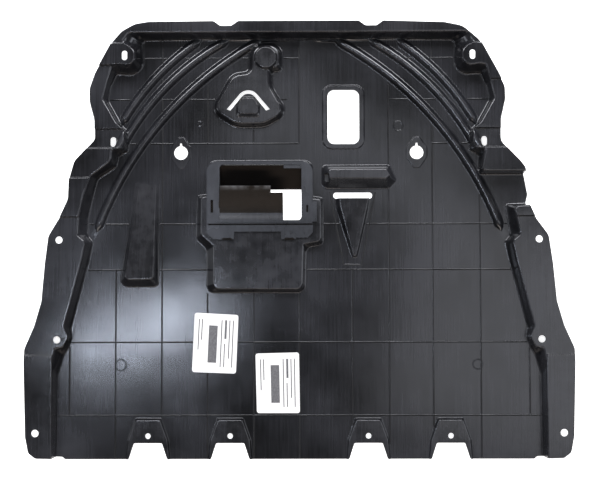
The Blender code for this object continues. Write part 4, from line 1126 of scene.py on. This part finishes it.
def settle(body, tools):
    # joins and cuts the tools of one body, in their order, and removes them
    for tool, operation in tools:
        step = body.modifiers.new(tool.name, "BOOLEAN")
        step.operation = operation
        step.solver = "EXACT"
        step.object = tool
    evaluated = body.evaluated_get(bpy.context.evaluated_depsgraph_get())
    mesh = bpy.data.meshes.new_from_object(evaluated)
    body.modifiers.clear()
    body.data = mesh
    for tool, operation in tools:
        bpy.data.objects.remove(tool, do_unlink=True)


def finishEdges(body, finish):
    mesh = bmesh.new()
    mesh.from_mesh(body.data)
    bmesh.ops.remove_doubles(mesh, verts=mesh.verts[:], dist=0.00001)
    bmesh.ops.dissolve_limit(mesh, angle_limit=math.radians(1.0), verts=mesh.verts[:], edges=mesh.edges[:])
    mesh.to_mesh(body.data)
    mesh.free()
    body.data.materials.clear()
    body.data.materials.append(finish)
    shadeSmooth(body, insert["smoothAngle"])
    step = body.modifiers.new("brokenEdges", "BEVEL")
    step.width = insert["bevel"] * mm
    step.segments = insert["segments"]
    step.limit_method = "ANGLE"
    step.angle_limit = math.radians(insert["bevelAngle"])
    step.use_clamp_overlap = True
    leadFlatFaces(body)


def frameOutline(at):
    margin = insert["margin"]
    left = at.left - margin["left"]
    right = at.right + margin["right"]
    front = at.front - margin["front"]
    rear = at.rear + margin["rear"]
    corner = insert["frameCorner"]
    cut = insert["chamfer"]
    wide = insert["gap"]["width"] / 2
    middle = at.x + insert["gap"]["shift"]
    inner = front + insert["gap"]["depth"]
    return [
        (right, rear, corner), (left, rear, corner), (left, front + cut, 5), (left + cut, front, 5),
        (middle - wide, front, 0), (middle - wide + 1, inner, 0), (middle + wide - 1, inner, 0),
        (middle + wide, front, 0), (right - cut, front, 5), (right, front + cut, 5),
    ]


def ringOutline(at):
    margin = insert["margin"]
    inset = insert["ringInset"]
    left = at.left - (margin["left"] - inset)
    right = at.right + (margin["right"] - inset)
    front = at.front - margin["step"]
    rear = at.rear + (margin["rear"] - inset)
    corner = insert["frameCorner"] - inset
    return [(right, rear, corner), (left, rear, corner), (left, front, 2), (right, front, 2)]


def lipOutline(at):
    lip = insert["lip"]
    left = at.left - lip["left"]
    right = at.right + lip["right"]
    front = at.front - lip["front"]
    rear = at.rear + lip["rear"]
    return [(right, rear, lip["corner"]), (left, rear, lip["corner"]), (left, front, 3), (right, front, 3)]


def hoodLine(front, base):
    # from the front lip down into a trough, then up to the free edge
    start = insert["hoodReach"] * insert["troughShare"]
    deep = insert["trough"]
    line = []
    for step in range(insert["troughSteps"]):
        share = step / insert["troughSteps"]
        drop = (deep + 0.3) * share * share * (3 - 2 * share)
        line.append((front - 1 + share * (start + 1), base + 0.3 - drop))
    for step in range(insert["hoodSteps"] + 1):
        share = step / insert["hoodSteps"]
        rise = (insert["hoodRise"] + deep) * share ** insert["hoodCurve"]
        line.append((front + start + share * (insert["hoodReach"] - start), base - deep + rise))
    return line


def makeFrame(at):
    deck = at.deck
    crown = at.crown
    wall = insert["collarWall"]
    foot = at.seat - insert["collarDrop"]
    tools = [
        (makePrism("frameRing", ringOutline(at), deck - 1, crown), "UNION"),
        (makePrism("mouthLip", lipOutline(at), crown - 0.5, crown + insert["lip"]["height"]), "UNION"),
        (makePrism("collar", at.mouth(2 * wall, insert["corner"] + wall), foot, deck - 0.5), "UNION"),
        (makePrism("mouth", at.mouth(0.0, insert["corner"]), foot - 5, crown + 5), "DIFFERENCE"),
    ]
    for entry in insert["snapSlots"]:
        slot = at.snapSlot(entry, 0.0, 0.0, 2 * insert["snapDepth"])
        tools.append((makePrism("snapSlot", slot, at.seat - 1, deck + 1), "DIFFERENCE"))
    for pit in at.pits:
        tools.append((makePrism("pit", pit, deck, crown + 1), "DIFFERENCE"))
    guide = at.besideMouth(*insert["guideBar"])
    tabX, tabY, tabWidth, tabLength = insert["frameTab"]
    tab = boxCorners(at.right + tabX, at.rear + tabY, tabWidth, tabLength, 0)
    tools += [
        (makePrism("partingGroove", at.parting, deck - insert["groove"], crown + 1), "DIFFERENCE"),
        (makePrism("guideBar", guide, deck - 2.0, crown), "UNION"),
        (makePrism("frameTab", tab, deck - 0.8, crown - 0.4), "UNION"),
    ]
    body = makePrism("ductInsert", frameOutline(at), at.seat, deck)
    settle(body, tools)
    return body


def addHood(at, body):
    # the hood is a curved blade with a notched free edge, closed on the left by a leaning cheek
    wall = insert["collarWall"]
    blade = insert["blade"]
    base = at.seat + 0.4
    line = hoodLine(at.front, at.crown)

    def lean(z):
        return insert["hoodLean"] * (z - base) / (at.crown + insert["hoodRise"] - base)

    across, deep = insert["hoodNotch"]
    high = at.front + insert["hoodReach"]
    start = at.hoodRight + 1
    end = at.hoodRight - across
    notch = [(start, high - deep, 0), (start, high + 9, 0), (end, high + 9, 0), (end, high - deep, 0)]
    hood = makeProfile("ductHood", sheetProfile(line, blade), at.left - wall - 0.4, at.hoodRight, lean)
    settle(hood, [(makePrism("hoodNotch", notch, at.deck, at.crown + 2 * insert["hoodRise"]), "DIFFERENCE")])
    under = [Vector(p) - Vector((0.0, blade * 0.7)) for p in line[1:]]
    under[-1].x -= 0.5
    cheekLine = [Vector((under[0].x, base))] + under + [Vector((under[-1].x, base))]
    cheek = makeProfile("hoodCheek", cheekLine, at.left - wall + 0.2, at.left + 0.2, lean, lean)
    settle(body, [(hood, "UNION"), (cheek, "UNION")])


def makeRamp(at):
    # the ramp behind the mouth, near black as painted shade, and dark inlays of painted shade at the bottom of
    # the pits, the groove and the slots
    deck = at.deck
    wall = insert["collarWall"]
    top = at.rear - 1
    line = [(top - insert["rampLength"], insert["rampFoot"]), (top, deck - 0.3)]
    ramp = makeProfile("ductRamp", sheetProfile(line, insert["blade"]), at.left - wall, at.right + wall)
    tools = [(makePrism("rampBounds", at.mouth(wall, insert["corner"] + 1), 0.0, at.crown), "INTERSECT")]
    for pit in at.pits:
        inlay = makePrism("pitShade", insetCorners(pit, 0.2), deck + 0.02, deck + insert["shadeRise"])
        tools.append((inlay, "UNION"))
    low = deck - insert["groove"] + 0.1
    tools.append((makePrism("partingShade", insetCorners(at.parting, 0.3), low, deck + 0.1), "UNION"))
    for entry in insert["snapSlots"][:2]:
        slot = at.snapSlot(entry, 0.4, 3, insert["snapDepth"] + 0.8)
        tools.append((makePrism("slotShade", slot, deck - 0.6, deck + 0.05), "UNION"))
    settle(ramp, tools)
    return ramp


def shadeHood(at, body):
    # the hollow of the hood gets a darker, duller copy of the plastic as painted shade, and its free edge a
    # painted highlight
    body.data.materials.append(materials["hoodShadePlastic"])
    shadeFrom = (at.front + insert["hoodShadeStart"]) * mm
    for face in body.data.polygons:
        middle = face.center
        across = at.left * mm - 0.0005 < middle.x < at.right * mm
        along = shadeFrom < middle.y < (at.rear - 2) * mm
        if across and along and abs(face.normal.z) < 0.999 and face.normal.z > 0.05:
            face.material_index = 1
    mask = body.data.attributes.new("paintedLightMask", "FLOAT", "POINT")
    high = (at.crown + insert["hoodRise"] - insert["edgeStrip"]) * mm
    for vert, value in zip(body.data.vertices, mask.data):
        value.value = float(vert.co.z > high)


def makeDuctInsert():
    at = InsertPlaces()
    body = makeFrame(at)
    addHood(at, body)
    ramp = makeRamp(at)
    finishEdges(body, materials["insertPlastic"])
    shadeHood(at, body)
    finishEdges(ramp, materials["paintedShadePlastic"])
    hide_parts("duct_insert")
    for piece in (body, ramp):
        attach(piece, "root")
    print("stage: duct insert,", len(body.data.polygons), "faces")


makeDuctInsert()


# two plain paper labels, with ruled lines where a form would be filled in
# a line has its place across the label, its start and end down it and its width, as shares of the label
labels = {
    "places": {
        "labelLeft": [(-171.4, -119.2), (-99.7, -123.3), (-103.8, -219.3), (-176.1, -216.5)],
        "labelRight": [(-71.8, -186.5), (-0.3, -184.7), (1.1, -283.8), (-69.4, -283.7)],
    },
    "lift": 0.06, "thickness": 0.14, "radius": 4.0, "ink": 0.02,
    "rules": [
        (0.34, 0.2, 0.83, 0.2), (0.1, 0.1, 0.62, 0.024), (0.17, 0.1, 0.45, 0.024), (0.62, 0.1, 0.9, 0.024),
        (0.7, 0.1, 0.42, 0.05), (0.7, 0.5, 0.9, 0.024), (0.8, 0.1, 0.75, 0.024), (0.88, 0.1, 0.9, 0.024),
    ],
    "paper": {"grain": 90.0, "detail": 6.0, "low": (0.66, 0.66, 0.665), "high": (0.8, 0.8, 0.8), "rough": 0.45},
    "print": {
        "grain": 400.0, "detail": 2.0, "low": (0.03, 0.03, 0.035), "high": (0.16, 0.16, 0.17), "rough": 0.5,
    },
}


def makeSpeckled(name, look):
    made, sockets = newMaterial(name)
    tree = made.node_tree
    sockets["Roughness"].default_value = look["rough"]
    place = addNode(tree, "ShaderNodeTexCoord").outputs["Object"]
    grain = addNoise(tree, place, look["grain"], Detail=look["detail"])
    feed(tree, sockets["Base Color"], addRamp(tree, grain, (0.0, look["low"]), (1.0, look["high"])))
    return made


def makeSlab(name, outlines, low, high, finish):
    # flat closed pieces of one thickness, each drawn up from its outline; heights are in millimetres
    mesh = bmesh.new()
    for outline in outlines:
        mesh.faces.new([mesh.verts.new((x * mm, y * mm, low * mm)) for x, y in outline])
    moved = onlyVerts(bmesh.ops.extrude_face_region(mesh, geom=mesh.faces[:]))
    bmesh.ops.translate(mesh, verts=moved, vec=(0, 0, (high - low) * mm))
    bmesh.ops.recalc_face_normals(mesh, faces=mesh.faces[:])
    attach(addObject(name, mesh, finish), "root")


def ruleOutlines(corners):
    a, b, c, d = (Vector(corner) for corner in corners)
    outlines = []
    for across, start, end, width in labels["rules"]:
        spots = ((across, end), (across + width, end), (across + width, start), (across, start))
        outlines.append([a.lerp(b, u).lerp(d.lerp(c, u), v) for u, v in spots])
    return outlines


def makeLabels():
    paper = makeSpeckled("labelPaper", labels["paper"])
    ink = makeSpeckled("greyInk", labels["print"])
    base = sheet + ribs["height"] + labels["lift"]
    top = base + labels["thickness"]
    for name, corners in labels["places"].items():
        outline = roundedLoop([(x, y, labels["radius"]) for x, y in corners[::-1]])
        makeSlab(name, [outline], base, top, paper)
        makeSlab(name + "Rules", ruleOutlines(corners), top - labels["ink"], top + labels["ink"], ink)
    print("stage: labels")


makeLabels()


# pale floor and soft light, in metres; a light has its place, size, power in watts and colour
studio = {
    "floor": {"size": 8.0, "drop": -0.0005, "colour": (0.86, 0.86, 0.86), "rough": 0.9, "glow": 0.85},
    "world": 0.16,
    "lights": [
        ("overheadLeft", (-0.54, -0.2, 2.2), (0.12, 0.45), 5.4, (0.8, 0.87, 1.0)),
        ("overheadRight", (0.8, -0.25, 2.2), (0.8, 1.0), 4.2, (0.95, 0.96, 1.0)),
        ("overheadRear", (0.15, 0.42, 2.2), (0.9, 0.35), 1.2, (0.93, 0.95, 1.0)),
        ("pageTop", (0.0, 1.75, 1.95), (3.0, 0.8), 135.0, (0.98, 0.98, 1.0)),
        ("pageLeft", (-2.1, 0.0, 0.8), (0.5, 2.0), 9.0, (0.9, 0.94, 1.0)),
        ("pageRight", (2.1, 0.0, 0.8), (0.5, 2.0), 9.0, (0.9, 0.94, 1.0)),
        ("pageBottom", (0.0, -1.7, 1.6), (2.6, 0.5), 20.0, (1.0, 0.88, 0.78)),
    ],
}


def makeStudio():
    mesh = bmesh.new()
    bmesh.ops.create_grid(mesh, x_segments=1, y_segments=1, size=studio["floor"]["size"] / 2)
    bmesh.ops.translate(mesh, verts=mesh.verts[:], vec=(0, 0, studio["floor"]["drop"]))
    made, sockets = newMaterial("paleFloor")
    sockets["Base Color"].default_value = (*studio["floor"]["colour"], 1.0)
    sockets["Roughness"].default_value = studio["floor"]["rough"]
    sockets["Emission Color"].default_value = (1.0, 1.0, 1.0, 1.0)
    sockets["Emission Strength"].default_value = studio["floor"]["glow"]
    addObject("paleFloor", mesh, made)
    world = bpy.data.worlds.new("studio")
    world.use_nodes = True
    sky = world.node_tree.nodes["Background"].inputs
    sky["Color"].default_value = (1.0, 1.0, 1.0, 1.0)
    sky["Strength"].default_value = studio["world"]
    bpy.context.scene.world = world
    for name, place, size, power, colour in studio["lights"]:
        data = bpy.data.lights.new(name, "AREA")
        data.shape = "RECTANGLE"
        data.size, data.size_y = size
        data.energy = power
        data.color = colour
        lamp = bpy.data.objects.new(name, data)
        bpy.context.scene.collection.objects.link(lamp)
        lamp.location = place
        lamp.rotation_euler = (-Vector(place)).to_track_quat("-Z", "Y").to_euler()
    bpy.context.scene.view_settings.view_transform = "Standard"


makeStudio()
print("stage: studio")
